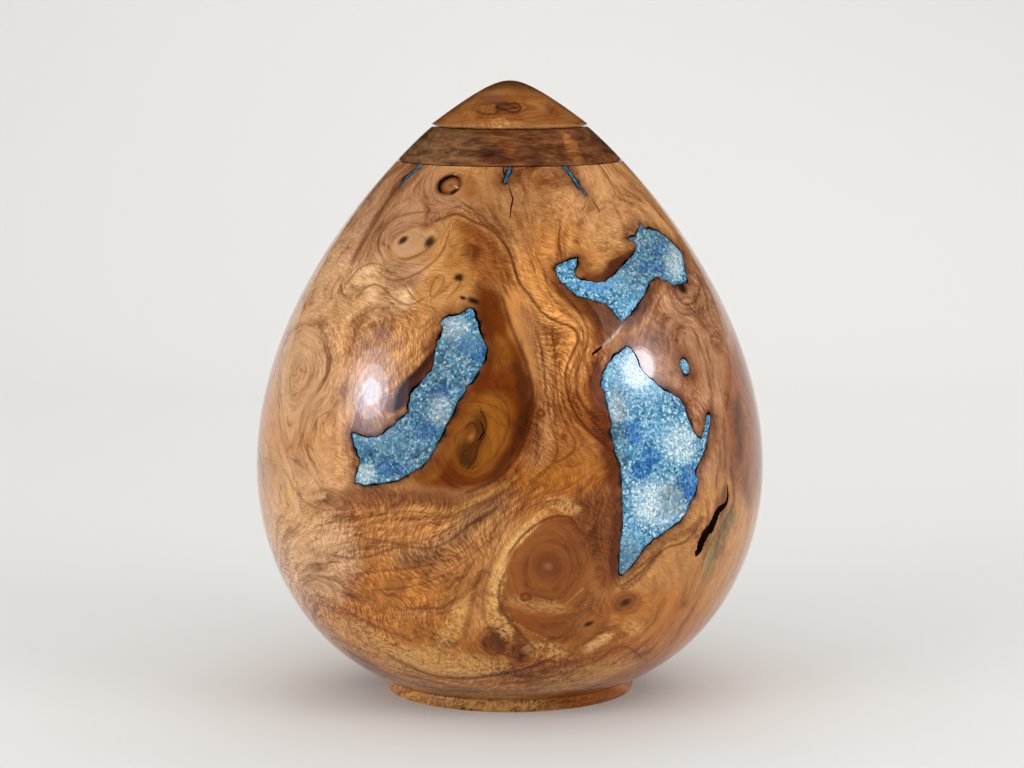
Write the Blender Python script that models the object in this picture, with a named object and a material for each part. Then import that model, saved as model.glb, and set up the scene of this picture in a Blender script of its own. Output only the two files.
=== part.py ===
"""A turned wooden funeral urn: a hollow egg of burl, a walnut collar, a pointed lid and stone fills.

The urn stands on its foot, with the middle of its underside at the origin and its front towards -Y.
Azimuths are degrees from the front, towards +X. Lengths are metres.
"""

from math import cos, radians, sin, tau

import bmesh
import bpy
from mathutils import Vector

# The egg's outline, from the foot up
foot_radius = 0.0512
foot_height = 0.005
foot_bulge = 0.0006
flare_angle = radians(22)
flare_pull = 0.0385
belly_radius = 0.104
belly_height = 0.092
belly_pull_down = 0.0353
belly_pull_up = 0.0765
seat_height = 0.2177
collar_height = 0.0138
rim_radius = 0.0316
rim_angle = radians(36)
rim_pull = 0.0044
lid_height = 0.0185
lid_angle = radians(37)
lid_pull = 0.0273
lid_tip_pull = 0.0038
lid_edge_round = 0.0004

# Walls and what fits in what
wall_thickness = 0.012
floor_thickness = 0.016
neck_depth = 0.010
seat_width = 0.0155
spigot_depth = 0.006
collar_rim_width = 0.0095
tenon_depth = 0.012
tenon_chamfer = 0.001
shadow_gap = 0.0004
shadow_inset = 0.0015
joint_gap = 0.0003
spigot_clearance = 0.0003
lid_clearance = 0.0005

# Stone fills and their pockets
fill_depth = 0.005
fill_gap = 0.0003
eye_azimuth = 46.0
eye_height_share = 0.6496
eye_half_width = 0.0024
eye_half_height = 0.0029
crack_top_half_width = 0.0010
crack_end_half_width = 0.0003

# Where the cutting prisms start and end, as shares of the way from the egg's heart to its surface
prism_inner_share = 0.7
prism_outer_share = 1.25

# How finely curves are faceted
sides = 48
foot_steps = 3
flare_steps = 9
shoulder_steps = 14
collar_steps = 3
lid_steps = 8
eye_points = 10
outline_steps = 2

# Fill outlines: azimuth in degrees, height as a share of the vessel's own height
left_outline = [
    (-10.4, 0.763), (-9.1, 0.752), (-6.9, 0.714), (-5.6, 0.694), (-6.5, 0.666), (-8.8, 0.641),
    (-12.1, 0.598), (-14.6, 0.552), (-17.5, 0.505), (-20.3, 0.485), (-24.3, 0.466), (-28.2, 0.457),
    (-35.0, 0.452), (-33.9, 0.493), (-36.9, 0.538), (-32.9, 0.534), (-28.9, 0.540), (-24.8, 0.570),
    (-22.8, 0.583), (-22.7, 0.616), (-18.4, 0.655), (-18.1, 0.691), (-17.0, 0.727), (-17.9, 0.736),
    (-16.0, 0.747), (-12.8, 0.750),
]
upper_right_outline = [
    (52.4, 0.896), (52.5, 0.888), (59.0, 0.881), (63.6, 0.868), (67.8, 0.837), (64.4, 0.817),
    (61.5, 0.794), (55.9, 0.789), (52.4, 0.791), (47.5, 0.806), (42.7, 0.795), (40.1, 0.781),
    (36.4, 0.764), (30.1, 0.736), (27.7, 0.761), (24.9, 0.771), (19.0, 0.783), (14.8, 0.808),
    (13.8, 0.824), (14.8, 0.835), (20.8, 0.844), (18.9, 0.821), (20.4, 0.808), (26.3, 0.802),
    (30.1, 0.809), (34.2, 0.823), (40.4, 0.842), (45.1, 0.862), (42.8, 0.874), (46.7, 0.877),
]
lower_right_outline = [
    (29.7, 0.692), (26.7, 0.681), (24.2, 0.668), (22.0, 0.646), (21.5, 0.626), (22.1, 0.610),
    (22.9, 0.567), (22.7, 0.537), (24.2, 0.490), (24.5, 0.463), (24.4, 0.436), (24.8, 0.381),
    (24.5, 0.357), (24.8, 0.300), (25.8, 0.292), (27.5, 0.305), (30.4, 0.338), (32.2, 0.351),
    (37.6, 0.373), (40.2, 0.386), (42.3, 0.409), (44.1, 0.431), (44.8, 0.451), (43.9, 0.467),
    (47.1, 0.493), (49.1, 0.526), (51.2, 0.556), (49.8, 0.557), (47.8, 0.527), (46.6, 0.521),
    (44.7, 0.533), (43.3, 0.564), (41.9, 0.596), (37.5, 0.614), (35.7, 0.627), (32.5, 0.651),
    (31.7, 0.672), (31.0, 0.685),
]

# Middle lines of the cracks, from the joint under the collar downwards
left_crack = [(-49.5, 1.03), (-50.3, 0.998), (-52.3, 0.985), (-54.6, 0.972), (-54.2, 0.958)]
centre_crack = [(0.8, 1.03), (0.1, 0.999), (-1.1, 0.986), (-2.1, 0.974)]
right_crack = [(26.0, 1.03), (27.2, 1.000), (29.0, 0.993), (30.0, 0.981), (30.7, 0.967), (32.5, 0.950)]

# Heights and radii that follow from the sizes above
rim_height = seat_height + collar_height
total_height = rim_height + lid_height
heart = Vector((0, 0, belly_height))
foot_top_radius = foot_radius - foot_bulge
collar_bore = rim_radius - collar_rim_width

# The egg's outline is two curves, each with two ends and two handles: foot to belly, belly to rim
flare = (
    Vector((foot_top_radius, foot_height)),
    Vector((foot_top_radius + flare_pull * cos(flare_angle), foot_height + flare_pull * sin(flare_angle))),
    Vector((belly_radius, belly_height - belly_pull_down)),
    Vector((belly_radius, belly_height)),
)
shoulder = (
    Vector((belly_radius, belly_height)),
    Vector((belly_radius, belly_height + belly_pull_up)),
    Vector((rim_radius + rim_pull * cos(rim_angle), rim_height - rim_pull * sin(rim_angle))),
    Vector((rim_radius, rim_height)),
)


def point_on(curve, share):
    """The point at a share of the way along a cubic curve."""
    start, pull_start, pull_end, end = curve
    rest = 1 - share
    near_start = start * rest**3 + pull_start * (3 * rest**2 * share)
    near_end = pull_end * (3 * rest * share**2) + end * share**3
    return near_start + near_end


def share_at_height(curve, height):
    """How far along a rising curve it reaches a height."""
    low = 0.0
    high = 1.0
    for _ in range(40):
        middle = (low + high) / 2
        if point_on(curve, middle).y < height:
            low = middle
        else:
            high = middle
    return high


def stretch(curve, first, last, steps):
    """Evenly spaced points of a curve between two shares, both ends included."""
    return [point_on(curve, first + (last - first) * k / steps) for k in range(steps + 1)]


def egg_skin():
    """The egg's whole rising line, from the top of the foot to the rim."""
    return stretch(flare, 0, 1, flare_steps) + stretch(shoulder, 0, 1, shoulder_steps)[1:]


def set_in(points, depth):
    """The rising line of points moved into the wood by a depth, square to the line."""
    moved = []
    for k, point in enumerate(points):
        before = points[max(k - 1, 0)]
        after = points[min(k + 1, len(points) - 1)]
        along = (after - before).normalized()
        moved.append(point + Vector((-along.y, along.x)) * depth)
    return moved


def up_to_height(points, height):
    """The part of a rising line below a height, ended exactly on it."""
    kept = [point for point in points if point.y < height]
    below = kept[-1]
    above = points[len(kept)]
    kept.append(below.lerp(above, (height - below.y) / (above.y - below.y)))
    return kept


def lacquered(name, colour, roughness):
    """A wood or stone finish under clear lacquer."""
    material = bpy.data.materials.new(name)
    material.use_nodes = True
    shader = material.node_tree.nodes["Principled BSDF"]
    shader.inputs["Base Color"].default_value = (*colour, 1)
    shader.inputs["Roughness"].default_value = roughness
    shader.inputs["Metallic"].default_value = 0
    material.diffuse_color = (*colour, 1)
    return material


def add_object(name, form, material):
    """Turn a bmesh into a smooth-shaded object that hangs under the urn's empty."""
    bmesh.ops.recalc_face_normals(form, faces=form.faces)
    mesh = bpy.data.meshes.new(name)
    form.to_mesh(mesh)
    form.free()
    mesh.shade_smooth()
    mesh.set_sharp_from_angle(angle=radians(35))
    piece = bpy.data.objects.new(name, mesh)
    piece.parent = urn
    bpy.context.scene.collection.objects.link(piece)
    if material:
        mesh.materials.append(material)
    else:
        piece.hide_render = True
        piece.display_type = "WIRE"
    return piece


def turned(name, outline, material=None):
    """Spin an outline round the axis: open with both ends on the axis, or closed as a ring."""
    form = bmesh.new()
    corners = [form.verts.new((radius, 0, height)) for radius, height in outline]
    edges = [form.edges.new(pair) for pair in zip(corners, corners[1:])]
    if outline[0][0] > 0:
        edges.append(form.edges.new((corners[-1], corners[0])))
    bmesh.ops.spin(
        form, geom=corners + edges, axis=(0, 0, 1), cent=(0, 0, 0), angle=tau, steps=sides, use_merge=True
    )
    bmesh.ops.remove_doubles(form, verts=form.verts, dist=0.000001)
    return add_object(name, form, material)


def on_egg(azimuth, height_share):
    """The point of the egg's surface at an azimuth and a share of the vessel's height."""
    height = height_share * seat_height
    curve = flare if height < belly_height else shoulder
    radius = point_on(curve, share_at_height(curve, height)).x
    return Vector((radius * sin(radians(azimuth)), -radius * cos(radians(azimuth)), height))


def smooth_loop(points, steps):
    """A closed smooth curve through the points, with a few steps between neighbours."""
    loop = []
    for k in range(len(points)):
        before, start, end, after = [Vector(points[(k + j) % len(points)]) for j in (-1, 0, 1, 2)]
        for step in range(steps):
            share = step / steps
            slope = (end - before) * share
            bend = (before * 2 - start * 5 + end * 4 - after) * share**2
            twist = (start * 3 - before - end * 3 + after) * share**3
            loop.append((start * 2 + slope + bend + twist) / 2)
    return [on_egg(azimuth, height_share) for azimuth, height_share in loop]


def eye_loop():
    """The small oval fill's outline."""
    middle = on_egg(eye_azimuth, eye_height_share)
    loop = []
    for k in range(eye_points):
        turn = tau * k / eye_points
        swing = eye_half_width * sin(turn) / middle.xy.length
        height_share = eye_height_share + eye_half_height * cos(turn) / seat_height
        loop.append(on_egg(eye_azimuth + swing * 360 / tau, height_share))
    return loop


def crack_loop(middle_line):
    """A narrow outline along a crack, which tapers to its lower end."""
    one_side = []
    other_side = []
    for k, (azimuth, height_share) in enumerate(middle_line):
        share = k / (len(middle_line) - 1)
        half_width = crack_top_half_width + (crack_end_half_width - crack_top_half_width) * share
        radius = on_egg(azimuth, height_share).xy.length
        swing = half_width / radius * 360 / tau
        one_side.append(on_egg(azimuth - swing, height_share))
        other_side.append(on_egg(azimuth + swing, height_share))
    return one_side + other_side[::-1]


def widened(loop, gap):
    """A loop on the egg moved outwards all round by a gap, measured along the surface."""
    middle = sum(loop, Vector()) / len(loop)
    facing = (middle - heart).normalized()
    area = sum(facing.dot(a.cross(b)) for a, b in zip(loop, loop[1:] + loop[:1]))
    turn_sign = 1 if area > 0 else -1
    moved = []
    for k, point in enumerate(loop):
        arriving = (point - loop[k - 1]).normalized()
        leaving = (loop[(k + 1) % len(loop)] - point).normalized()
        outward = (point - heart).normalized()
        side = (arriving + leaving).normalized().cross(outward) * turn_sign
        mitre = max(side.dot(leaving.cross(outward)) * turn_sign, 0.5)
        moved.append(point + side * gap / mitre)
    return moved


def radial_prism(name, loop, material=None):
    """A prism through the egg's skin along a loop, with walls that point to the egg's heart."""
    form = bmesh.new()
    inner = [form.verts.new(heart + (point - heart) * prism_inner_share) for point in loop]
    outer = [form.verts.new(heart + (point - heart) * prism_outer_share) for point in loop]
    caps = [form.faces.new(inner), form.faces.new(outer)]
    for k in range(len(loop)):
        form.faces.new((inner[k - 1], inner[k], outer[k], outer[k - 1]))
    bmesh.ops.triangulate(form, faces=caps)
    return add_object(name, form, material)


def cut(piece, tool, operation):
    """Cut a piece with a tool, or keep only what they share."""
    modifier = piece.modifiers.new(tool.name, "BOOLEAN")
    modifier.operation = operation
    modifier.solver = "EXACT"
    modifier.object = tool


def vessel_outside():
    """The vessel's outer line, from the edge of its underside up to the seat of the collar."""
    foot = []
    for k in range(foot_steps):
        share = k / foot_steps
        draw_in = foot_bulge * (1 - 2 * share)**2
        foot.append(Vector((foot_radius - draw_in, foot_height * share)))
    seat_share = share_at_height(shoulder, seat_height)
    body = stretch(flare, 0, 1, flare_steps) + stretch(shoulder, 0, seat_share, shoulder_steps)[1:]
    return foot + body


def egg_core(name, depth):
    """A solid egg that lies a depth under the surface, to floor the fills and their pockets."""
    core = set_in(egg_skin(), depth)
    return turned(name, [(0, core[0].y)] + [tuple(point) for point in core] + [(0, core[-1].y)])


def make_vessel():
    """The hollow body, with its foot turned in one, an even wall and a neck ring round the mouth."""
    cavity = [point for point in set_in(egg_skin(), wall_thickness) if point.y > floor_thickness]
    cavity = up_to_height(cavity, seat_height - neck_depth)
    outline = [(0, 0)] + [tuple(point) for point in vessel_outside()]
    outline += [(mouth_radius, seat_height), (mouth_radius, seat_height - neck_depth)]
    outline += [tuple(point) for point in reversed(cavity)]
    outline.append((0, floor_thickness))
    return turned("vessel", outline, burl)


def make_collar():
    """The walnut ring: it carries on the egg's line, and its spigot drops into the mouth."""
    seat = seat_height + joint_gap
    outside = stretch(shoulder, share_at_height(shoulder, seat), 1, collar_steps)
    spigot_radius = mouth_radius - spigot_clearance
    outline = [tuple(point) for point in outside]
    outline += [(collar_bore, rim_height), (collar_bore, seat_height - spigot_depth)]
    outline += [(spigot_radius, seat_height - spigot_depth), (spigot_radius, seat)]
    return turned("collar", outline, walnut)


def make_lid():
    """The pointed cap: it stands on a hidden step that leaves a shadow line, over a short tenon."""
    rest = rim_height + joint_gap
    edge = rest + shadow_gap
    step_radius = rim_radius - shadow_inset
    tenon_radius = collar_bore - lid_clearance
    tenon_end = rim_height - tenon_depth
    rim_point = Vector((rim_radius, edge + lid_edge_round))
    dome = (
        rim_point,
        rim_point + Vector((-cos(lid_angle), sin(lid_angle))) * lid_pull,
        Vector((lid_tip_pull, total_height)),
        Vector((0, total_height)),
    )
    outline = [(0, tenon_end), (tenon_radius - tenon_chamfer, tenon_end)]
    outline += [(tenon_radius, tenon_end + tenon_chamfer), (tenon_radius, rest)]
    outline += [(step_radius, rest), (step_radius, edge), (rim_radius - lid_edge_round, edge)]
    outline += [tuple(point) for point in stretch(dome, 0, 1, lid_steps)]
    return turned("lid", outline, burl)


def make_fill(name, loop, material):
    """One stone fill, flush with the surface, and the pocket that holds it with a gap all round."""
    fill = radial_prism(name, loop, material)
    cut(fill, blank, "INTERSECT")
    cut(fill, fill_core, "DIFFERENCE")
    pocket = radial_prism(name + "_pocket", widened(loop, fill_gap))
    cut(pocket, pocket_core, "DIFFERENCE")
    cut(vessel, pocket, "DIFFERENCE")


for old in list(bpy.data.objects):
    bpy.data.objects.remove(old, do_unlink=True)

urn = bpy.data.objects.new("urn", None)
bpy.context.scene.collection.objects.link(urn)

burl = lacquered("lacquered_burl", (0.36, 0.15, 0.05), 0.2)
walnut = lacquered("lacquered_walnut", (0.11, 0.05, 0.02), 0.2)
stone = lacquered("blue_stone_fill", (0.16, 0.42, 0.60), 0.25)

mouth_radius = on_egg(0, 1).xy.length - seat_width

vessel = make_vessel()
make_collar()
make_lid()

blank_outline = [(0, 0)] + [tuple(point) for point in vessel_outside()] + [(0, seat_height)]
blank = turned("blank", blank_outline)
fill_core = egg_core("fill_core", fill_depth)
pocket_core = egg_core("pocket_core", fill_depth + fill_gap)

make_fill("inlay_left", smooth_loop(left_outline, outline_steps), stone)
make_fill("inlay_upper_right", smooth_loop(upper_right_outline, outline_steps), stone)
make_fill("inlay_lower_right", smooth_loop(lower_right_outline, outline_steps), stone)
make_fill("inlay_eye", eye_loop(), stone)
make_fill("crack_fill_left", crack_loop(left_crack), stone)
make_fill("crack_fill_centre", crack_loop(centre_crack), stone)
make_fill("crack_fill_right", crack_loop(right_crack), stone)
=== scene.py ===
# %% [markdown]
# A turned urn of lacquered burl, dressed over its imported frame.
# The frame gives every piece its place and size: the hollow vessel, the walnut collar, the lid that
# lifts off, and seven fills of crushed blue stone. This lesson turns each piece again at a finer
# pitch, cuts ragged pockets, sets stone chips one by one, and paints the figure of the burl.

# %% Load the frame
import math

import bmesh
import bpy
import numpy as np
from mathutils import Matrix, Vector, noise
from mathutils.kdtree import KDTree


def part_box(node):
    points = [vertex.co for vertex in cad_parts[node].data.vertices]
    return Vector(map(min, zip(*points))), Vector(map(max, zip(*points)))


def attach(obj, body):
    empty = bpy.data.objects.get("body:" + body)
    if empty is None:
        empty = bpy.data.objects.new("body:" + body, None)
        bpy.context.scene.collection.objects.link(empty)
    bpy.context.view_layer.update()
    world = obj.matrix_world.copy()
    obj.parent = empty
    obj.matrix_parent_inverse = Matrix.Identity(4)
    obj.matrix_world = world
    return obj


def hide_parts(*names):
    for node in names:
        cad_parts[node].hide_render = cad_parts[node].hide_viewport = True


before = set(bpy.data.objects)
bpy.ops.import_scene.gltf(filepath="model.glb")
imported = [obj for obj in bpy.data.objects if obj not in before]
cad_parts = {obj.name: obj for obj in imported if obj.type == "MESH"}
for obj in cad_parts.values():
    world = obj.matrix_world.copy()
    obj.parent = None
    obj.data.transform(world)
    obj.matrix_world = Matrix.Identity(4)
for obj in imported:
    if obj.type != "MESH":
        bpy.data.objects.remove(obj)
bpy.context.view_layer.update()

# %% [markdown]
# The urn was photographed from about 1.3 m, a little above its shoulder, with a long lens.
# The same eye does two jobs here: it is the camera of the scene, and it carries marks made on the
# photograph's frame onto the turned surface, so that knots and cracks land where they belong.

# %% Set up the camera
photo_width = 1024
photo_height = 768
eye_place = Vector((0.0009, -1.3092, 0.2965))
eye_pitch = math.radians(7.4285)
focal_pixels = 3215.6

camera_data = bpy.data.cameras.new("photo_eye")
camera_data.sensor_width = 36.0
camera_data.lens = focal_pixels * camera_data.sensor_width / photo_width
camera_data.clip_start = 0.05
camera_data.clip_end = 20.0
camera = bpy.data.objects.new("photo_eye", camera_data)
camera.location = eye_place
camera.rotation_euler = (math.pi / 2 - eye_pitch, 0, 0)
bpy.context.scene.collection.objects.link(camera)
bpy.context.scene.camera = camera
bpy.context.scene.view_settings.view_transform = "Standard"

eye_forward = Vector((0, math.cos(eye_pitch), -math.sin(eye_pitch)))
eye_up = Vector((0, math.sin(eye_pitch), math.cos(eye_pitch)))


def to_pixels(points):
    """Where points in the world land on the photograph's frame."""
    away = np.asarray(points, float) - np.array(eye_place)
    depth = away @ np.array(eye_forward)
    across = away[:, 0]
    rise = away @ np.array(eye_up)
    x = photo_width / 2 + focal_pixels * across / depth
    y = photo_height / 2 - focal_pixels * rise / depth
    return np.stack([x, y], axis=1)


def sight_line(pixel):
    """The direction in which the eye sees a pixel."""
    across = (pixel[0] - photo_width / 2) / focal_pixels
    rise = (photo_height / 2 - pixel[1]) / focal_pixels
    return (eye_forward + Vector((1, 0, 0)) * across + eye_up * rise).normalized()


print("camera lens", round(camera_data.lens, 2), "mm")

# %% [markdown]
# The outline of the urn is two curves, foot to belly and belly to rim, with a third over the lid.
# Their ends come from the boxes of the frame's nodes; the handles are the turner's own choices.

# %% Draw the outline
vessel_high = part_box("vessel")[1]
collar_low, collar_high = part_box("collar")
lid_low, lid_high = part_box("lid")
belly_radius = vessel_high.x
seat_height = vessel_high.z
rim_height = collar_high.z
rim_radius = lid_high.x
total_height = lid_high.z
belly_height = 0.092
foot_radius = 0.0512
foot_height = 0.005
foot_bulge = 0.0006
flare_angle = math.radians(22)
flare_pull = 0.0385
belly_pull_down = 0.0353
belly_pull_up = 0.0765
rim_angle = math.radians(36)
rim_pull = 0.0044
lid_angle = math.radians(37)
lid_pull = 0.0273
lid_tip_pull = 0.0038
lid_edge_round = 0.0004
joint_gap = 0.0003
shadow_gap = 0.0004
shadow_inset = 0.0015


def cubic(start, pull_start, pull_end, end, steps=400):
    """Points along a cubic curve of radius and height."""
    share = np.linspace(0, 1, steps + 1)[:, None]
    rest = 1 - share
    start, pull_start, pull_end, end = (np.array(p, float) for p in (start, pull_start, pull_end, end))
    return (start * rest**3 + 3 * pull_start * rest**2 * share
            + 3 * pull_end * rest * share**2 + end * share**3)


def evenly(points, count):
    """The same line with evenly spaced points."""
    points = np.asarray(points, float)
    steps = np.hypot(*np.diff(points, axis=0).T)
    along = np.concatenate([[0], np.cumsum(steps)])
    wanted = np.linspace(0, along[-1], count)
    return np.stack([np.interp(wanted, along, column) for column in points.T], axis=1)


foot_top = (foot_radius - foot_bulge, foot_height)
flare_handle = (foot_top[0] + flare_pull * math.cos(flare_angle),
                foot_height + flare_pull * math.sin(flare_angle))
belly = (belly_radius, belly_height)
flare = cubic(foot_top, flare_handle, (belly_radius, belly_height - belly_pull_down), belly)
rim_handle = (rim_radius + rim_pull * math.cos(rim_angle), rim_height - rim_pull * math.sin(rim_angle))
shoulder = cubic(belly, (belly_radius, belly_height + belly_pull_up), rim_handle,
                 (rim_radius, rim_height))
foot_share = np.linspace(0, 1, 9)[:-1]
foot = np.stack([foot_radius - foot_bulge * (1 - 2 * foot_share)**2, foot_height * foot_share], axis=1)
skin = np.concatenate([foot, flare, shoulder[1:]])
skin_turn = np.arctan2(-np.gradient(skin[:, 0]), np.gradient(skin[:, 1]))


def skin_radius(height):
    """The radius of the egg's outside at a height."""
    return np.interp(height, skin[:, 1], skin[:, 0])


def skin_normal(points):
    """The direction square to the egg's outside, at points on or near it."""
    points = np.asarray(points, float)
    turn = np.interp(points[:, 2], skin[:, 1], skin_turn)
    reach = np.maximum(np.hypot(points[:, 0], points[:, 1]), 1e-9)
    flat = np.cos(turn) / reach
    return np.stack([points[:, 0] * flat, points[:, 1] * flat, np.sin(turn)], axis=1)


def set_in(line, depth):
    """A rising line moved into the wood, square to itself."""
    along = np.gradient(line, axis=0)
    along /= np.hypot(along[:, 0], along[:, 1])[:, None]
    return line + np.stack([-along[:, 1], along[:, 0]], axis=1) * depth


cad_points = np.array([v.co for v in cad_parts["vessel"].data.vertices])
reach = np.hypot(cad_points[:, 0], cad_points[:, 1])
skin_sag = 0.0004
on_skin = np.abs(reach - skin_radius(cad_points[:, 2])) < skin_sag
off = np.abs(reach - skin_radius(cad_points[:, 2]))[on_skin]
furthest = round(float(off.max()) * 1000, 3)
print("outline:", len(skin), "points; the frame's skin lies within", furthest, "mm of it")

# %% [markdown]
# A lathe turns a line round an axis, so the round pieces come from one Geometry Nodes lathe.
# The tree reads the outline from the object's own vertices, lays a grid of rows and columns over it
# and bends the grid round the axis. Columns crowd towards the front, where the figure is read
# closest, and thin out behind. A spin in mesh code would do too, but not the crowding.

# %% Helpers for node trees


def new_tree(name, sockets):
    """A Geometry Nodes tree with named inputs after its geometry."""
    tree = bpy.data.node_groups.new(name, "GeometryNodeTree")
    tree.interface.new_socket("Geometry", in_out="INPUT", socket_type="NodeSocketGeometry")
    for label, kind in sockets:
        tree.interface.new_socket(label, in_out="INPUT", socket_type="NodeSocket" + kind)
    tree.interface.new_socket("Geometry", in_out="OUTPUT", socket_type="NodeSocketGeometry")
    return tree


def put(tree, kind, *values, **settings):
    """Add a node, choose its settings and feed its sockets in order; None leaves one as it is."""
    made = tree.nodes.new(kind)
    for setting, choice in settings.items():
        setattr(made, setting, choice)
    for socket, value in zip([s for s in made.inputs if s.enabled], values):
        if isinstance(value, bpy.types.NodeSocket):
            tree.links.new(value, socket)
        elif value is not None:
            socket.default_value = value
    return made


def first_out(made):
    """The first working output of a node."""
    return next(s for s in made.outputs if s.enabled)


def calc(tree, operation, *values):
    """A maths node."""
    return first_out(put(tree, "ShaderNodeMath", *values, operation=operation))


def keep_result(piece):
    """Keep what a piece's modifiers make as its plain mesh."""
    evaluated = piece.evaluated_get(bpy.context.evaluated_depsgraph_get())
    result = bpy.data.meshes.new_from_object(evaluated)
    piece.modifiers.clear()
    old = piece.data
    piece.data = result
    bpy.data.meshes.remove(old)
    result.name = piece.name


def run_tree(piece, tree, **inputs):
    """Run a tree on an object and keep the result."""
    modifier = piece.modifiers.new(tree.name, "NODES")
    modifier.node_group = tree
    names = {item.name: item.identifier for item in tree.interface.items_tree if item.in_out == "INPUT"}
    for label, value in inputs.items():
        modifier[names[label.replace("_", " ")]] = value
    keep_result(piece)
    return piece


def count_triangles(piece):
    """How many triangles a piece has."""
    return sum(len(face.vertices) - 2 for face in piece.data.polygons)


def add_piece(name, mesh):
    """Put a mesh into the scene under a name."""
    piece = bpy.data.objects.new(name, mesh)
    bpy.context.scene.collection.objects.link(piece)
    return piece


print("helpers ready")

# %% Build the lathe
seam_width = 0.000002


def lathe_tree():
    """Turn the outline held in the object's vertices into a closed round piece."""
    tree = new_tree("lathe", [("Sides", "Int"), ("Front Crowding", "Float"), ("Finish", "Material")])
    source = tree.nodes.new("NodeGroupInput").outputs
    rows = put(tree, "GeometryNodeAttributeDomainSize", source["Geometry"]).outputs["Point Count"]
    columns = calc(tree, "ADD", source["Sides"], 1.0)
    grid = put(tree, "GeometryNodeMeshGrid", 1.0, 1.0, columns, rows)
    place = put(tree, "ShaderNodeSeparateXYZ", first_out(put(tree, "GeometryNodeInputPosition")))
    row = calc(tree, "ROUND", calc(tree, "MULTIPLY", calc(tree, "ADD", place.outputs[1], 0.5),
                                   calc(tree, "SUBTRACT", rows, 1.0)))
    outline_place = first_out(put(tree, "GeometryNodeInputPosition"))
    sample = put(tree, "GeometryNodeSampleIndex", source["Geometry"], outline_place, row,
                 data_type="FLOAT_VECTOR", domain="POINT")
    outline = put(tree, "ShaderNodeSeparateXYZ", first_out(sample))
    turn = calc(tree, "MULTIPLY", place.outputs[0], math.tau)
    crowd = calc(tree, "MULTIPLY", calc(tree, "SINE", turn), source["Front Crowding"])
    azimuth = calc(tree, "SUBTRACT", turn, crowd)
    x = calc(tree, "MULTIPLY", outline.outputs[0], calc(tree, "SINE", azimuth))
    towards_eye = calc(tree, "MULTIPLY", calc(tree, "COSINE", azimuth), -1.0)
    y = calc(tree, "MULTIPLY", outline.outputs[0], towards_eye)
    bent = put(tree, "ShaderNodeCombineXYZ", x, y, outline.outputs[2])
    moved = put(tree, "GeometryNodeSetPosition", grid.outputs["Mesh"], None, first_out(bent))
    merged = put(tree, "GeometryNodeMergeByDistance", first_out(moved), None, seam_width)
    smooth = put(tree, "GeometryNodeSetShadeSmooth", first_out(merged))
    real = put(tree, "GeometryNodeRealizeInstances", first_out(smooth))
    coated = put(tree, "GeometryNodeSetMaterial", first_out(real), None, source["Finish"])
    put(tree, "NodeGroupOutput", first_out(coated))
    return tree


lathe = lathe_tree()


def turned(name, outline, sides, finish, crowding=0.0):
    """Turn an outline of radius and height into a piece."""
    outline = np.asarray(outline, float)
    mesh = bpy.data.meshes.new(name)
    points = [(radius, 0, height) for radius, height in outline]
    mesh.from_pydata(points, [(k, k + 1) for k in range(len(points) - 1)], [])
    piece = run_tree(add_piece(name, mesh), lathe, Sides=sides, Front_Crowding=crowding, Finish=finish)
    print(name + ":", len(outline), "rows x", sides, "sides,", len(piece.data.polygons), "faces")
    return piece


# %% [markdown]
# Each finish is a procedural material. They are made empty here, because the lathe hands them out,
# and get their nodes further down, where each one is worked out.

# %% Name the finishes
burl = bpy.data.materials.new("lacquered_burl")
bark = bpy.data.materials.new("dark_bark")
raw_wood = bpy.data.materials.new("bare_inside")
walnut = bpy.data.materials.new("lacquered_walnut")
lid_burl = bpy.data.materials.new("lacquered_lid_burl")
resin = bpy.data.materials.new("stone_resin")
chips = bpy.data.materials.new("stone_chips")
print("finishes named")

# %% [markdown]
# The vessel is one closed line from the middle of its underside, up the outside, over the seat and
# down the inside wall, so the turned piece is truly hollow under the lid.

# %% Turn the vessel
wall_thickness = 0.012
floor_thickness = 0.016
neck_depth = 0.010
seat_width = 0.0155
skin_rows = 262
vessel_sides = 330
front_crowding = 0.6
cavity_rows = 12

vessel_skin = skin[skin[:, 1] < seat_height]
vessel_skin = np.concatenate([vessel_skin, [(skin_radius(seat_height), seat_height)]])
fine_skin = np.concatenate([foot[:-2], evenly(vessel_skin[len(foot) - 1:], skin_rows)])
mouth_radius = float(skin_radius(seat_height)) - seat_width
inside = set_in(skin[len(foot):], wall_thickness)
inside = inside[(inside[:, 1] > floor_thickness) & (inside[:, 1] < seat_height - neck_depth)]
inside = evenly(inside, cavity_rows)[::-1]
vessel_line = np.concatenate([
    [(0, 0), (foot_radius * 0.5, 0)], fine_skin,
    [(mouth_radius, seat_height), (mouth_radius, seat_height - neck_depth)],
    inside, [(0, floor_thickness)]])
vessel = turned("dressed_vessel", vessel_line, vessel_sides, burl, front_crowding)

# %% [markdown]
# The fills are poured into ragged pockets. Their outlines come from the frame's own nodes: the loop
# round each polished face is read, broken up finely and roughened, because eaten burl has no clean
# edge. The pocket is roughened again by itself, so the dark gap between wood and stone comes and goes.

# %% Read the outline of every fill
fill_names = [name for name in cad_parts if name.startswith(("inlay", "crack_fill"))]
skin_tolerance = 0.0006
loop_step = 0.0006
heart = Vector((0, 0, belly_height))


def near_skin(point):
    """Whether a point lies on the urn's outside."""
    return abs(math.hypot(point[0], point[1]) - float(skin_radius(point[2]))) < skin_tolerance


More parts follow.
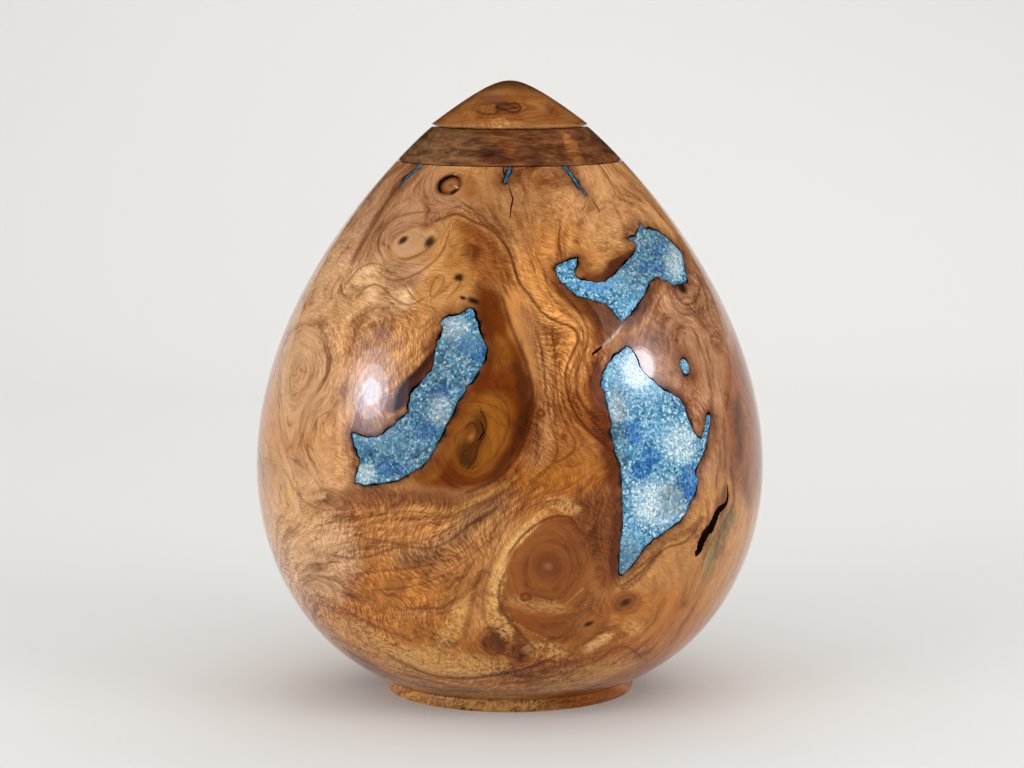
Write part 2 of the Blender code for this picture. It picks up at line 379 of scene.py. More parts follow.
def face_loop(name):
    """The loop round the polished face of a fill, in order."""
    form = bmesh.new()
    form.from_mesh(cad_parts[name].data)
    bmesh.ops.remove_doubles(form, verts=form.verts, dist=0.00001)
    polished = {face for face in form.faces if all(near_skin(corner.co) for corner in face.verts)}
    rim_edges = [edge for edge in form.edges if sum(face in polished for face in edge.link_faces) == 1]
    follow = {}
    for edge in rim_edges:
        for corner in edge.verts:
            follow.setdefault(corner, []).append(edge.other_vert(corner))
    start = next(iter(follow))
    ordered = [start]
    before = None
    here = start
    while True:
        onward = [corner for corner in follow[here] if corner != before]
        before, here = here, onward[0]
        if here == start or len(ordered) > len(follow):
            break
        ordered.append(here)
    loop = [corner.co.copy() for corner in ordered]
    form.free()
    return loop


def on_skin_at(azimuth, height):
    """A point of the egg's outside."""
    radius = float(skin_radius(height))
    return Vector((radius * math.sin(azimuth), -radius * math.cos(azimuth), height))


def drop_on_skin(point):
    """The point of the egg's outside at the same bearing and height."""
    return on_skin_at(math.atan2(point[0], -point[1]), point[2])


def broken_up(loop, step, closed=True):
    """The loop with points every step, all on the egg's outside."""
    fine = []
    pairs = list(zip(loop, loop[1:] + loop[:1])) if closed else list(zip(loop, loop[1:]))
    for here, onward in pairs:
        count = max(1, round((onward - here).length / step))
        fine += [drop_on_skin(here.lerp(onward, k / count)) for k in range(count)]
    if not closed:
        fine.append(drop_on_skin(loop[-1]))
    return fine


def pushed_out(loop, how_far):
    """Move each point of a closed loop sideways along the surface by what how_far says of it."""
    mean = sum(loop, Vector()) / len(loop)
    normals = [Vector(n) for n in skin_normal(loop)]
    area = sum((loop[k - 1] - mean).cross(loop[k] - mean).dot(normals[k]) for k in range(len(loop)))
    side = 1 if area > 0 else -1
    moved = []
    for k, point in enumerate(loop):
        along = loop[(k + 1) % len(loop)] - loop[k - 1]
        outwards = along.cross(normals[k]).normalized() * side
        moved.append(drop_on_skin(point + outwards * how_far(point)))
    return moved


def above_seat(loop):
    """Run a loop that ends at the collar a little past the seat, so that it cuts through."""
    return [point + Vector((0, 0, 0.002 if point.z > seat_height - 0.0002 else 0)) for point in loop]


ragged_pitch = 420.0
ragged_depth = 0.0005
finer_pitch = 2.3
finer_share = 0.6
gap_pitch = 260.0
gap_shift = Vector((7, 3, 1))
narrowest_gap = 0.00025
middle_gap = 0.0005
gap_swing = 0.0009


def ragged(point):
    """How far the stone's edge wanders in or out at a point."""
    finer = noise.noise(point * ragged_pitch * finer_pitch)
    return ragged_depth * (noise.noise(point * ragged_pitch) + finer_share * finer)


def gap_here(point):
    """The width of the dark line between stone and wood at a point."""
    return max(narrowest_gap, middle_gap + gap_swing * noise.noise(point * gap_pitch + gap_shift))


def is_small(name):
    """Whether a fill is small: one of the cracks, or the eye."""
    return name.startswith("crack") or name.endswith("eye")


stone_loops = {}
pocket_loops = {}
for name in fill_names:
    scale = 0.4 if is_small(name) else 1.0
    gap_scale = 0.35 + 0.65 * scale
    fine = broken_up(above_seat(face_loop(name)), loop_step * (0.5 if is_small(name) else 1))
    stone_loops[name] = pushed_out(fine, lambda point: ragged(point) * scale)
    pocket_loops[name] = pushed_out(stone_loops[name], lambda point: gap_here(point) * gap_scale)
    print(name, "loop of", len(fine), "points")

# %% [markdown]
# A cutter is a prism whose walls point at the heart of the egg. Every stone prism shares its tool,
# a shell of the egg five millimetres thick, and so do the pockets, which go a touch deeper.

# %% Cut the pockets and fill them
fill_depth = 0.005
pocket_extra = 0.0004
prism_inner = 0.7
prism_outer = 1.2
slot_depth = 0.0028
shell_foot = 0.03
stone_foot = 0.035
proud_foot = 0.034
proud_top = 0.228
proud_height = 0.006
cutter_sides = 120


def prisms(name, loops, finish):
    """One mesh that holds a radial prism for each loop."""
    form = bmesh.new()
    for loop in loops:
        inner = [form.verts.new(heart + (point - heart) * prism_inner) for point in loop]
        outer = [form.verts.new(heart + (point - heart) * prism_outer) for point in loop]
        caps = [form.faces.new(inner), form.faces.new(outer)]
        for k in range(len(loop)):
            form.faces.new((inner[k - 1], inner[k], outer[k], outer[k - 1]))
        bmesh.ops.triangulate(form, faces=caps)
    bmesh.ops.recalc_face_normals(form, faces=form.faces)
    mesh = bpy.data.meshes.new(name)
    form.to_mesh(mesh)
    form.free()
    mesh.materials.append(finish)
    return add_piece(name, mesh)


def cut(piece, tool, operation, crossing=False):
    """Cut a piece with a tool, or keep what they share; crossing allows walls that cross themselves."""
    modifier = piece.modifiers.new("cut", "BOOLEAN")
    modifier.operation = operation
    modifier.solver = "EXACT"
    modifier.use_self = crossing
    modifier.material_mode = "TRANSFER"
    modifier.object = tool
    keep_result(piece)


def shell(name, outside, depth, sides, finish, crowding=0.0):
    """A closed shell of the egg: an outside line and the same line a depth further in."""
    middle = skin[(skin[:, 1] > shell_foot) & (skin[:, 1] <= seat_height)]
    floor = evenly(set_in(middle, depth), 40)[::-1]
    line = np.concatenate([outside, floor, outside[:1]])
    return turned(name, line, sides, finish, crowding)


stone_skin = fine_skin[fine_skin[:, 1] > stone_foot]
stone_shell = shell("stone_shell", stone_skin, fill_depth, vessel_sides, resin, front_crowding)
proud_part = skin[(skin[:, 1] > proud_foot) & (skin[:, 1] < proud_top)]
proud_skin = evenly(set_in(proud_part, -proud_height), 50)
pocket_shell = shell("pocket_shell", proud_skin, fill_depth + pocket_extra, cutter_sides, bark)

stones = prisms("stones", stone_loops.values(), resin)
cut(stones, stone_shell, "INTERSECT")
pockets = prisms("pockets", pocket_loops.values(), bark)
cut(pockets, pocket_shell, "INTERSECT", crossing=True)
cut(vessel, pockets, "DIFFERENCE")
print("vessel after pockets:", len(vessel.data.polygons), "faces")

# %% [markdown]
# Fine drying cracks run out of the pockets and down from the collar. Each one is a narrow tapered
# slot a couple of millimetres deep, cut for real, so it stays a black line from any side.

# %% Cut the fine cracks
nearest_sight = 1.15
furthest_sight = 1.45
sight_step = 0.002
halvings = 24
above_seat_seen = 0.013


def inside_skin(spot):
    """Whether a place lies within the egg."""
    return math.hypot(spot.x, spot.y) < skin_radius(spot.z)


def cast(pixel):
    """The point of the egg's outside that the eye sees at a pixel."""
    direction = sight_line(pixel)
    near = nearest_sight
    far = None
    distance = near
    while distance < furthest_sight:
        spot = eye_place + direction * distance
        if spot.z < seat_height + above_seat_seen and inside_skin(spot):
            far = distance
            break
        near = distance
        distance += sight_step
    if far is None:
        return None
    for _ in range(halvings):
        middle = (near + far) / 2
        if inside_skin(eye_place + direction * middle):
            far = middle
        else:
            near = middle
    return drop_on_skin(eye_place + direction * far)


# Each crack: pixels along it, then half its width at either end
fine_cracks = {
    "centre_hairline": ([(509, 186), (511, 193), (513, 199), (511, 208), (510, 219)], 0.0003, 0.0003),
    "beside_centre": ([(504, 167), (503.5, 171), (503, 175)], 0.0003, 0.0002),
    "right_tip": ([(593, 202), (597, 207), (600, 213)], 0.0003, 0.0002),
    "upper_tail": ([(603, 346), (598, 350), (592, 355)], 0.0004, 0.0006),
    "side_crevice": ([(727, 484), (728, 496), (726, 504), (718, 511), (714, 520), (711, 528), (704, 536),
        (701, 545), (699, 551), (695, 554)], 0.0006, 0.0034),
    "olive_line": ([(480, 421), (483, 427), (483.5, 433), (480, 438), (476, 442)], 0.0003, 0.0003),
}


slot_step = 0.0008
slot_pitch = 900


def slot_loop(middle_line, first_width, last_width):
    """A tapered closed loop round a line of pixels, on the egg's outside."""
    line = broken_up([cast(pixel) for pixel in middle_line], slot_step, closed=False)
    normals = skin_normal(line)
    left = []
    right = []
    for k, point in enumerate(line):
        along = line[min(k + 1, len(line) - 1)] - line[max(k - 1, 0)]
        sideways = along.cross(Vector(normals[k])).normalized()
        taper = math.sin(math.pi * (0.06 + 0.88 * k / (len(line) - 1)))**0.6
        wander = 1 + 0.5 * noise.noise(point * slot_pitch)
        half_width = first_width + (last_width - first_width) * k / (len(line) - 1)
        left.append(drop_on_skin(point + sideways * half_width * taper * wander))
        right.append(drop_on_skin(point - sideways * half_width * taper * (2 - wander)))
    return left + right[::-1]


slots = prisms("slots", [slot_loop(*crack) for crack in fine_cracks.values()], bark)
slot_shell = shell("slot_shell", proud_skin, slot_depth, cutter_sides, bark)
cut(slots, slot_shell, "INTERSECT", crossing=True)
cut(vessel, slots, "DIFFERENCE")
for tool in (slots, slot_shell, pockets, pocket_shell, stone_shell):
    bpy.data.objects.remove(tool, do_unlink=True)
print("vessel after cracks:", len(vessel.data.polygons), "faces")


def bare_inside(piece, depth, floor_height):
    """Leave the hollow as bare wood: only the outside is lacquered."""
    mesh = piece.data
    mesh.materials.append(raw_wood)
    count = 0
    for face in mesh.polygons:
        x, y, z = face.center
        if z > floor_height and skin_radius(z) - math.hypot(x, y) > depth:
            face.material_index = len(mesh.materials) - 1
            count += 1
    return count


print("faces of bare wood:", bare_inside(vessel, 0.009, 0.010))

# %% [markdown]
# Turned wood under lacquer mirrors its lights, so the shading must follow the true curve, not the
# small faces left round a cut. Every corner on the outside gets the curve's own normal.

# %% Shade the outside by its true curve


def vertex_array(mesh):
    """All vertex places of a mesh."""
    places = np.empty(len(mesh.vertices) * 3)
    mesh.vertices.foreach_get("co", places)
    return places.reshape(-1, 3)


def skin_faces(mesh, low=0.0006, tolerance=0.00003):
    """The places, the corners, each face's first corner, and which faces lie on the outside."""
    places = vertex_array(mesh)
    reach = np.hypot(places[:, 0], places[:, 1])
    sag = 1 - math.cos(math.pi * (1 + front_crowding) / vessel_sides)
    outside = np.abs(reach - skin_radius(places[:, 2])) < tolerance + reach * sag
    outside &= places[:, 2] > low
    corner_vertex = np.empty(len(mesh.loops), int)
    mesh.loops.foreach_get("vertex_index", corner_vertex)
    starts = np.empty(len(mesh.polygons), int)
    mesh.polygons.foreach_get("loop_start", starts)
    whole = np.logical_and.reduceat(outside[corner_vertex], starts)
    return places, corner_vertex, starts, whole


def shade_by_curve(mesh):
    """Give outside corners the curve's normal and every other corner its own face's."""
    places, corner_vertex, starts, whole = skin_faces(mesh)
    lengths = np.diff(np.append(starts, len(corner_vertex)))
    on_outside = np.repeat(whole, lengths)
    face_normals = np.empty(len(mesh.polygons) * 3)
    mesh.polygons.foreach_get("normal", face_normals)
    corner_normals = np.repeat(face_normals.reshape(-1, 3), lengths, axis=0)
    corner_normals[on_outside] = skin_normal(places[corner_vertex[on_outside]])
    mesh.normals_split_custom_set(corner_normals.tolist())
    return int(whole.sum())


print("faces on the outside:", shade_by_curve(vessel.data))

# %% Sort the stones by node


def split_loose(piece):
    """The separate closed bodies of a mesh, each as its own mesh data."""
    form = bmesh.new()
    form.from_mesh(piece.data)
    form.verts.ensure_lookup_table()
    seen = set()
    bodies = []
    for vertex in form.verts:
        if vertex.index in seen:
            continue
        body = {vertex.index}
        rim = [vertex]
        while rim:
            here = rim.pop()
            for edge in here.link_edges:
                other = edge.other_vert(here)
                if other.index not in body:
                    body.add(other.index)
                    rim.append(other)
        seen |= body
        bodies.append(sorted(body))
    parts = []
    for body in bodies:
        renumber = {old: new for new, old in enumerate(body)}
        own_faces = [face for face in form.faces if face.verts[0].index in renumber]
        faces = [[renumber[corner.index] for corner in face.verts] for face in own_faces]
        mesh = bpy.data.meshes.new("stone")
        mesh.from_pydata([form.verts[k].co.copy() for k in body], [], faces)
        parts.append(mesh)
    form.free()
    return parts


def box_middle(name):
    """The middle of a node's box."""
    low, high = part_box(name)
    return (low + high) / 2


stone_parts = split_loose(stones)
bpy.data.objects.remove(stones, do_unlink=True)
stone_pieces = {}
for mesh in stone_parts:
    middle = Vector(vertex_array(mesh).mean(axis=0))
    name = min(fill_names, key=lambda key: (box_middle(key) - middle).length)
    if name in stone_pieces:
        print("small stray at", name, len(mesh.vertices))
        if len(mesh.vertices) < len(stone_pieces[name].data.vertices):
            continue
        bpy.data.objects.remove(stone_pieces[name], do_unlink=True)
    mesh.materials.append(resin)
    stone_pieces[name] = add_piece("dressed_" + name, mesh)
print("stones:", {name: len(piece.data.polygons) for name, piece in stone_pieces.items()})

# %% [markdown]
# The collar carries on the egg's line in walnut and drops a spigot into the mouth; the lid stands
# on a hidden step that leaves a shadow line. Both are turned on the same lathe with soft edges.

# %% Turn the collar and the lid
collar_bore = rim_radius - 0.0095
spigot_clearance = 0.0003
lid_clearance = 0.0005
tenon_chamfer = 0.001
collar_seat = seat_height + joint_gap
edge_round = 0.0003
collar_rows = 40
collar_sides = 360
dome_rows = 110
lid_sides = 380
crisp_angle = math.radians(50)

collar_skin = skin[(skin[:, 1] > collar_seat + edge_round) & (skin[:, 1] < rim_height - edge_round)]
collar_skin = evenly(collar_skin, collar_rows)
collar_corner = (float(skin_radius(collar_seat)) - edge_round, collar_seat)
spigot_radius = mouth_radius - spigot_clearance
collar_line = np.concatenate([
    [collar_corner], collar_skin,
    [(rim_radius - edge_round, rim_height), (collar_bore, rim_height), (collar_bore, collar_low.z),
     (spigot_radius, collar_low.z), (spigot_radius, collar_seat), collar_corner]])
collar = turned("dressed_collar", collar_line, collar_sides, walnut, 0.5)

lid_rest = rim_height + joint_gap
lid_edge = lid_rest + shadow_gap
rim_point = np.array((rim_radius, lid_edge + lid_edge_round))
lid_handle = rim_point + np.array((-math.cos(lid_angle), math.sin(lid_angle))) * lid_pull
dome = evenly(cubic(rim_point, lid_handle, (lid_tip_pull, total_height), (0, total_height)), dome_rows)
edge_turn = np.linspace(-math.pi / 2, 0, 6)[:-1]
soft_edge = np.stack([rim_radius - lid_edge_round + lid_edge_round * np.cos(edge_turn),
                      lid_edge + lid_edge_round + lid_edge_round * np.sin(edge_turn)], axis=1)
tenon_radius = collar_bore - lid_clearance
step_radius = rim_radius - shadow_inset
lid_line = np.concatenate([
    [(0, lid_low.z), (tenon_radius - tenon_chamfer, lid_low.z), (tenon_radius, lid_low.z + tenon_chamfer),
     (tenon_radius, lid_rest), (step_radius, lid_rest), (step_radius, lid_edge)],
    soft_edge, dome])
lid = turned("dressed_lid", lid_line, lid_sides, lid_burl, 0.55)


def harden(piece, angle):
    """Keep the edges that are turned sharper than an angle crisp."""
    form = bmesh.new()
    form.from_mesh(piece.data)
    for edge in form.edges:
        edge.smooth = edge.calc_face_angle(0) < angle
    form.to_mesh(piece.data)
    form.free()


harden(collar, crisp_angle)
harden(lid, crisp_angle)
print("collar and lid turned")

# %% [markdown]
# The figure of burl is a flow: fibres run round the eyes and pour between them. It is drawn here the
# way a marbler combs ink. Strokes follow the grain as it shows from the eye's place; each has its
# later growth on its right-hand side. A smooth field is then fitted whose level lines follow every
# stroke, so one number for each vertex tells the finish which growth line it lies on.

# %% Draw the flow of the grain
flows = {
    "left_rim": [(268, 520), (257, 455), (256, 390), (262, 330), (285, 270), (325, 215), (370, 182),
        (415, 163)],
    "left_inner": [(300, 500), (281, 440), (276, 385), (284, 330), (306, 278), (338, 238), (372, 208)],
    "upper_left_streak": [(345, 275), (360, 245), (378, 215), (396, 188)],
    "left_swirl": [(286, 334), (307, 321), (321, 334), (329, 355), (327, 378), (312, 396), (302, 416),
        (295, 441)],
    "bark_streak": [(384, 425), (389, 409), (393, 396), (404, 385), (414, 369), (432, 351), (450, 335)],
    "beside_inlay": [(352, 470), (350, 440), (362, 400), (384, 368), (410, 340), (432, 318)],
    "lower_left_upper": [(330, 523), (375, 516), (411, 509), (446, 519), (482, 503), (509, 482),
        (530, 459)],
    "lower_left_lower": [(313, 556), (349, 546), (399, 539), (450, 533), (490, 515), (522, 490)],
    "pale_sweep": [(325, 600), (360, 618), (399, 616), (430, 610), (449, 606), (470, 585), (490, 560)],
    "gold_band": [(352, 622), (376, 639), (396, 649), (408, 659), (436, 670), (467, 672), (494, 668),
        (512, 655)],
    "bottom_band": [(343, 644), (383, 667), (450, 685), (520, 690), (600, 684), (655, 660)],
    "foot_band": [(390, 690), (450, 699), (520, 702), (590, 698), (630, 690)],
    "right_rim": [(672, 650), (712, 600), (742, 540), (758, 470), (762, 395), (752, 320), (724, 258),
        (684, 208), (640, 176)],
    "right_inner": [(655, 640), (692, 585), (712, 530), (716, 470), (714, 410), (706, 350), (690, 305)],
    "right_fan": [(640, 335), (650, 310), (664, 290), (676, 268), (676, 240)],
    "middle_right": [(640, 420), (625, 380), (628, 340), (636, 300), (640, 285)],
    "centre_column": [(520, 500), (533, 459), (541, 420), (545, 380), (539, 340), (524, 290), (506, 240),
        (490, 205), (478, 175)],
    "orange_line": [(612, 455), (600, 440), (584, 428), (568, 401), (564, 374), (571, 356), (579, 339),
        (575, 326), (559, 322), (543, 312), (532, 292), (518, 278), (511, 260), (502, 240)],
    "second_line": [(620, 440), (600, 421), (586, 410), (575, 392), (577, 371), (587, 351), (589, 331),
        (579, 312), (559, 290), (541, 262), (532, 230), (528, 195)],
    "orange_arch": [(513, 258), (504, 242), (490, 228), (472, 221), (460, 214), (447, 213), (437, 219)],
    "knot_tail": [(497, 233), (483, 217), (470, 208), (463, 203)],
    "above_eye": [(470, 560), (485, 535), (508, 508), (535, 495), (565, 488), (595, 470)],
    "right_of_eye": [(560, 640), (590, 622), (606, 590), (606, 555), (598, 520), (606, 490)],
    "upper_right_band": [(560, 270), (560, 240), (572, 210), (590, 190)],
    "lower_right_sweep": [(600, 660), (640, 640), (668, 612), (676, 585), (668, 560)],
}
rings = {
    "plug_knot": ((450.4, 184.1), (13, 13)), "plug_halo": ((450.4, 184.1), (20, 21)),
    "pale_oval": ((412, 242), (23, 16)), "oval_outer": ((410, 246), (33, 27)),
    "golden_loop": ((437, 283), (18, 14)), "small_loop_eye": ((459, 277.5), (6, 6)),
    "olive_knot": ((470, 446), (18, 20)), "olive_ring": ((478, 444), (34, 40)),
    "left_small_swirl": ((387.5, 405), (8, 9)),
    "eye_boundary": ((548, 567), (39, 49)), "eye_middle": ((549, 567), (25, 29)),
    "eye_oval": ((549, 567), (12, 11)),
    "sub_eye": ((494, 642), (17, 15)), "under_eye": ((521, 651), (13, 12)),
    "right_knot": ((625, 602), (11, 9)), "small_right_knot": ((588, 624), (7, 7)),
    "olive_spot": ((682, 291), (9, 8)), "olive_spot_ring": ((684, 296), (18, 20)),
    "left_soft_spot": ((391, 588), (10, 9)), "far_soft_spot": ((356, 627), (9, 9)),
}
stroke_step = 11.0
hidden_eyes = 16
field_seed = 4
ring_points = 9
back_start = 105
back_width = 150
back_sway = 4
lowest_eye = 0.02
eye_rise = 0.19
even_share = 0.618


def ring_pixels(centre, radii, count):
    """A closed ring of pixels, clockwise on the frame, so that its inside is the later growth."""
    turn = np.linspace(0, math.tau, count + 1)[:-1]
    return [(centre[0] + radii[0] * math.cos(a), centre[1] + radii[1] * math.sin(a)) for a in turn]


def along_line(pixels, step):
    """Evenly spaced pixels along a drawn line."""
    length = np.cumsum(np.hypot(*np.diff(np.asarray(pixels, float), axis=0).T))[-1]
    return evenly(pixels, max(2, int(length / step) + 1))


def cast_inwards(pixel):
    """Like cast, but a pixel beside the urn is first moved in to its edge."""
    x, y = pixel
    spot = cast((x, y))
    while spot is None:
        x += 2.0 if x < photo_width / 2 else -2.0
        spot = cast((x, y))
    return spot


def stroke_on_skin(pixels, closed):
    """Points on the outside, with the directions along the stroke and to its right."""
    spots = [cast_inwards(pixel) for pixel in pixels]
    normals = skin_normal(spots)
    made = []
    for k, spot in enumerate(spots):
        if closed:
            along = spots[(k + 1) % len(spots)] - spots[k - 1]
        else:
            along = spots[min(k + 1, len(spots) - 1)] - spots[max(k - 1, 0)]
        right = along.cross(Vector(normals[k])).normalized()
        made.append((spot, along.normalized(), right, not closed))
    return made


marks = []
for pixels in flows.values():
    marks += stroke_on_skin(along_line(pixels, stroke_step), False)
for centre, radii in rings.values():
    count = max(6, int(math.tau * max(radii) / stroke_step))
    marks += stroke_on_skin(ring_pixels(centre, radii, count), True)

chance = np.random.default_rng(field_seed)
hidden_places = []
for k in range(hidden_eyes):
    sway = chance.uniform(-back_sway, back_sway)
    azimuth = math.radians(back_start + back_width * (k + 0.5) / hidden_eyes + sway)
    height = lowest_eye + eye_rise * ((k * even_share) % 1.0)
    size = chance.uniform(0.004, 0.013)
    middle = on_skin_at(azimuth, height)
    hidden_places.append((middle, size))
    normal = Vector(skin_normal([middle])[0])
    side = Vector((0, 0, 1)).cross(normal).normalized()
    rise = normal.cross(side)
    for spread in (0.5, 1.0, 1.8):
        ring = []
        for step in range(ring_points):
            turn = -math.tau * step / ring_points
            spoke = side * math.cos(turn) + rise * math.sin(turn)
            ring.append(drop_on_skin(middle + spoke * size * spread))
        for step, spot in enumerate(ring):
            along = (ring[(step + 1) % ring_points] - ring[step - 1]).normalized()
            marks.append((spot, along, (middle - spot).normalized(), False))
for azimuth_degrees in range(100, 261, 20):
    azimuth = math.radians(azimuth_degrees)
    for height in (0.012, 0.045, 0.075, 0.105, 0.135, 0.165, 0.195):
        spot = on_skin_at(azimuth + 0.1 * math.sin(height * 60 + azimuth * 3), height)
        if min((spot - place).length - 2.2 * size for place, size in hidden_places) < 0:
            continue
        normal = Vector(skin_normal([spot])[0])
        lean = Vector((0.35 * math.sin(azimuth * 5 + height * 40), 0.1, 1))
        along = (lean - normal * lean.dot(normal)).normalized()
        across = along.cross(normal)
        if across.x < 0:
            across = -across
        marks.append((spot, along, across.normalized(), True))
print("grain marks:", len(marks))

# %% Fit the growth lines
field_unit = 0.1
smoothing = 0.02
batch = 1000
mark_places = np.array([m[0] for m in marks]) / field_unit
mark_along = np.array([m[1] for m in marks])
mark_right = np.array([m[2] for m in marks])
general_slope = np.array([1.0, 0.0, 0.0])


def fit_field(places, rising, level, slope):
    """Weights of a smooth field that rises by one along each rising mark and stays level on the other."""
    count = len(places)
    away = places[:, None, :] - places[None, :, :]
    span = np.linalg.norm(away, axis=2)
    safe = np.maximum(span, 1e-9)
    system = np.empty((2 * count, 2 * count))
    for row, wanted in enumerate((rising, level)):
        for column, source in enumerate((rising, level)):
            straight = span * (wanted @ source.T)
            bent = np.einsum("ijk,ik->ij", away, wanted) * np.einsum("ijk,jk->ij", away, source) / safe
            rows = slice(row * count, (row + 1) * count)
            columns = slice(column * count, (column + 1) * count)
            system[rows, columns] = 3 * (straight + bent)
    target = np.concatenate([1 - rising @ slope, -(level @ slope)])
    system -= np.eye(2 * count) * smoothing
    weights = np.linalg.solve(system, target)
    return rising * weights[:count, None] + level * weights[count:, None]


def field_at(points, places, weights, slope):
    """The value of a fitted field at many points, in metres."""
    points = np.asarray(points, float) / field_unit
    values = points @ slope
    for start in range(0, len(points), batch):
        some = slice(start, start + batch)
        away = points[some, None, :] - places[None, :, :]
        span = np.sqrt(np.einsum("ijk,ijk->ij", away, away))
        values[some] += 3 * np.einsum("ij,ijk,jk->i", span, away, weights, optimize=True)
    return values * field_unit


# Growth rises across every mark; reach rises along the open strokes, and tells how far along they are
upwards = np.array([0.0, 0.0, 1.0])
open_marks = np.array([m[3] for m in marks])
growth_weights = fit_field(mark_places, mark_right, mark_along, general_slope)
reach_places = mark_places[open_marks]
reach_weights = fit_field(reach_places, mark_along[open_marks], mark_right[open_marks], upwards)


def growth_at(points):
    """Which growth line each point lies on."""
    return field_at(points, mark_places, growth_weights, general_slope)


def reach_at(points):
    """How far along the grain each point lies."""
    return field_at(points, reach_places, reach_weights, upwards)


test = growth_at(mark_places * field_unit)
print("growth runs from", round(float(test.min()), 4), "to", round(float(test.max()), 4), "m")

# %% [markdown]
# Colour is laid on the vertices in the same way, with patches, soft dabs and strokes of a few named
# wood colours on the photograph's frame. Their edges are bent a little by noise so that no edge is a
# clean oval. Behind, where the eye does not reach, the painting is folded over and stirred, so the
# sides carry on without a seam and the back stays plainer.

# %% Name the wood colours
wood = {
    "pale cream": (224, 184, 138), "pale tan": (204, 158, 116), "tan": (207, 151, 100),
    "warm tan": (184, 128, 72), "rose tan": (188, 134, 98), "pink brown": (172, 124, 92),
    "honey": (160, 98, 40), "gold": (204, 148, 74), "amber": (154, 88, 28), "orange": (108, 46, 2),
    "deep orange": (100, 46, 4), "olive gold": (146, 88, 26), "copper": (134, 72, 24),
    "mid brown": (160, 109, 66), "brown": (112, 58, 20), "dusk brown": (138, 80, 38),
    "dark brown": (68, 34, 12), "olive dark": (64, 36, 8), "purple brown": (112, 72, 56),
    "grey brown": (108, 82, 62), "bark black": (20, 11, 5), "red brown": (92, 38, 12),
    "ash brown": (126, 84, 48), "toast": (176, 115, 60), "ice": (206, 208, 204),
    "bright honey": (200, 134, 70), "low amber": (176, 108, 44), "olive grey": (150, 124, 76),
}


def linear(colour):
    """A screen colour of 0 to 255 as linear light."""
    share = np.asarray(colour, float) / 255
    return np.where(share <= 0.04045, share / 12.92, ((share + 0.055) / 1.055)**2.4)


wood_gain = 0.9
wood_light = {name: linear(colour) * wood_gain for name, colour in wood.items()}
print("wood colours:", len(wood))

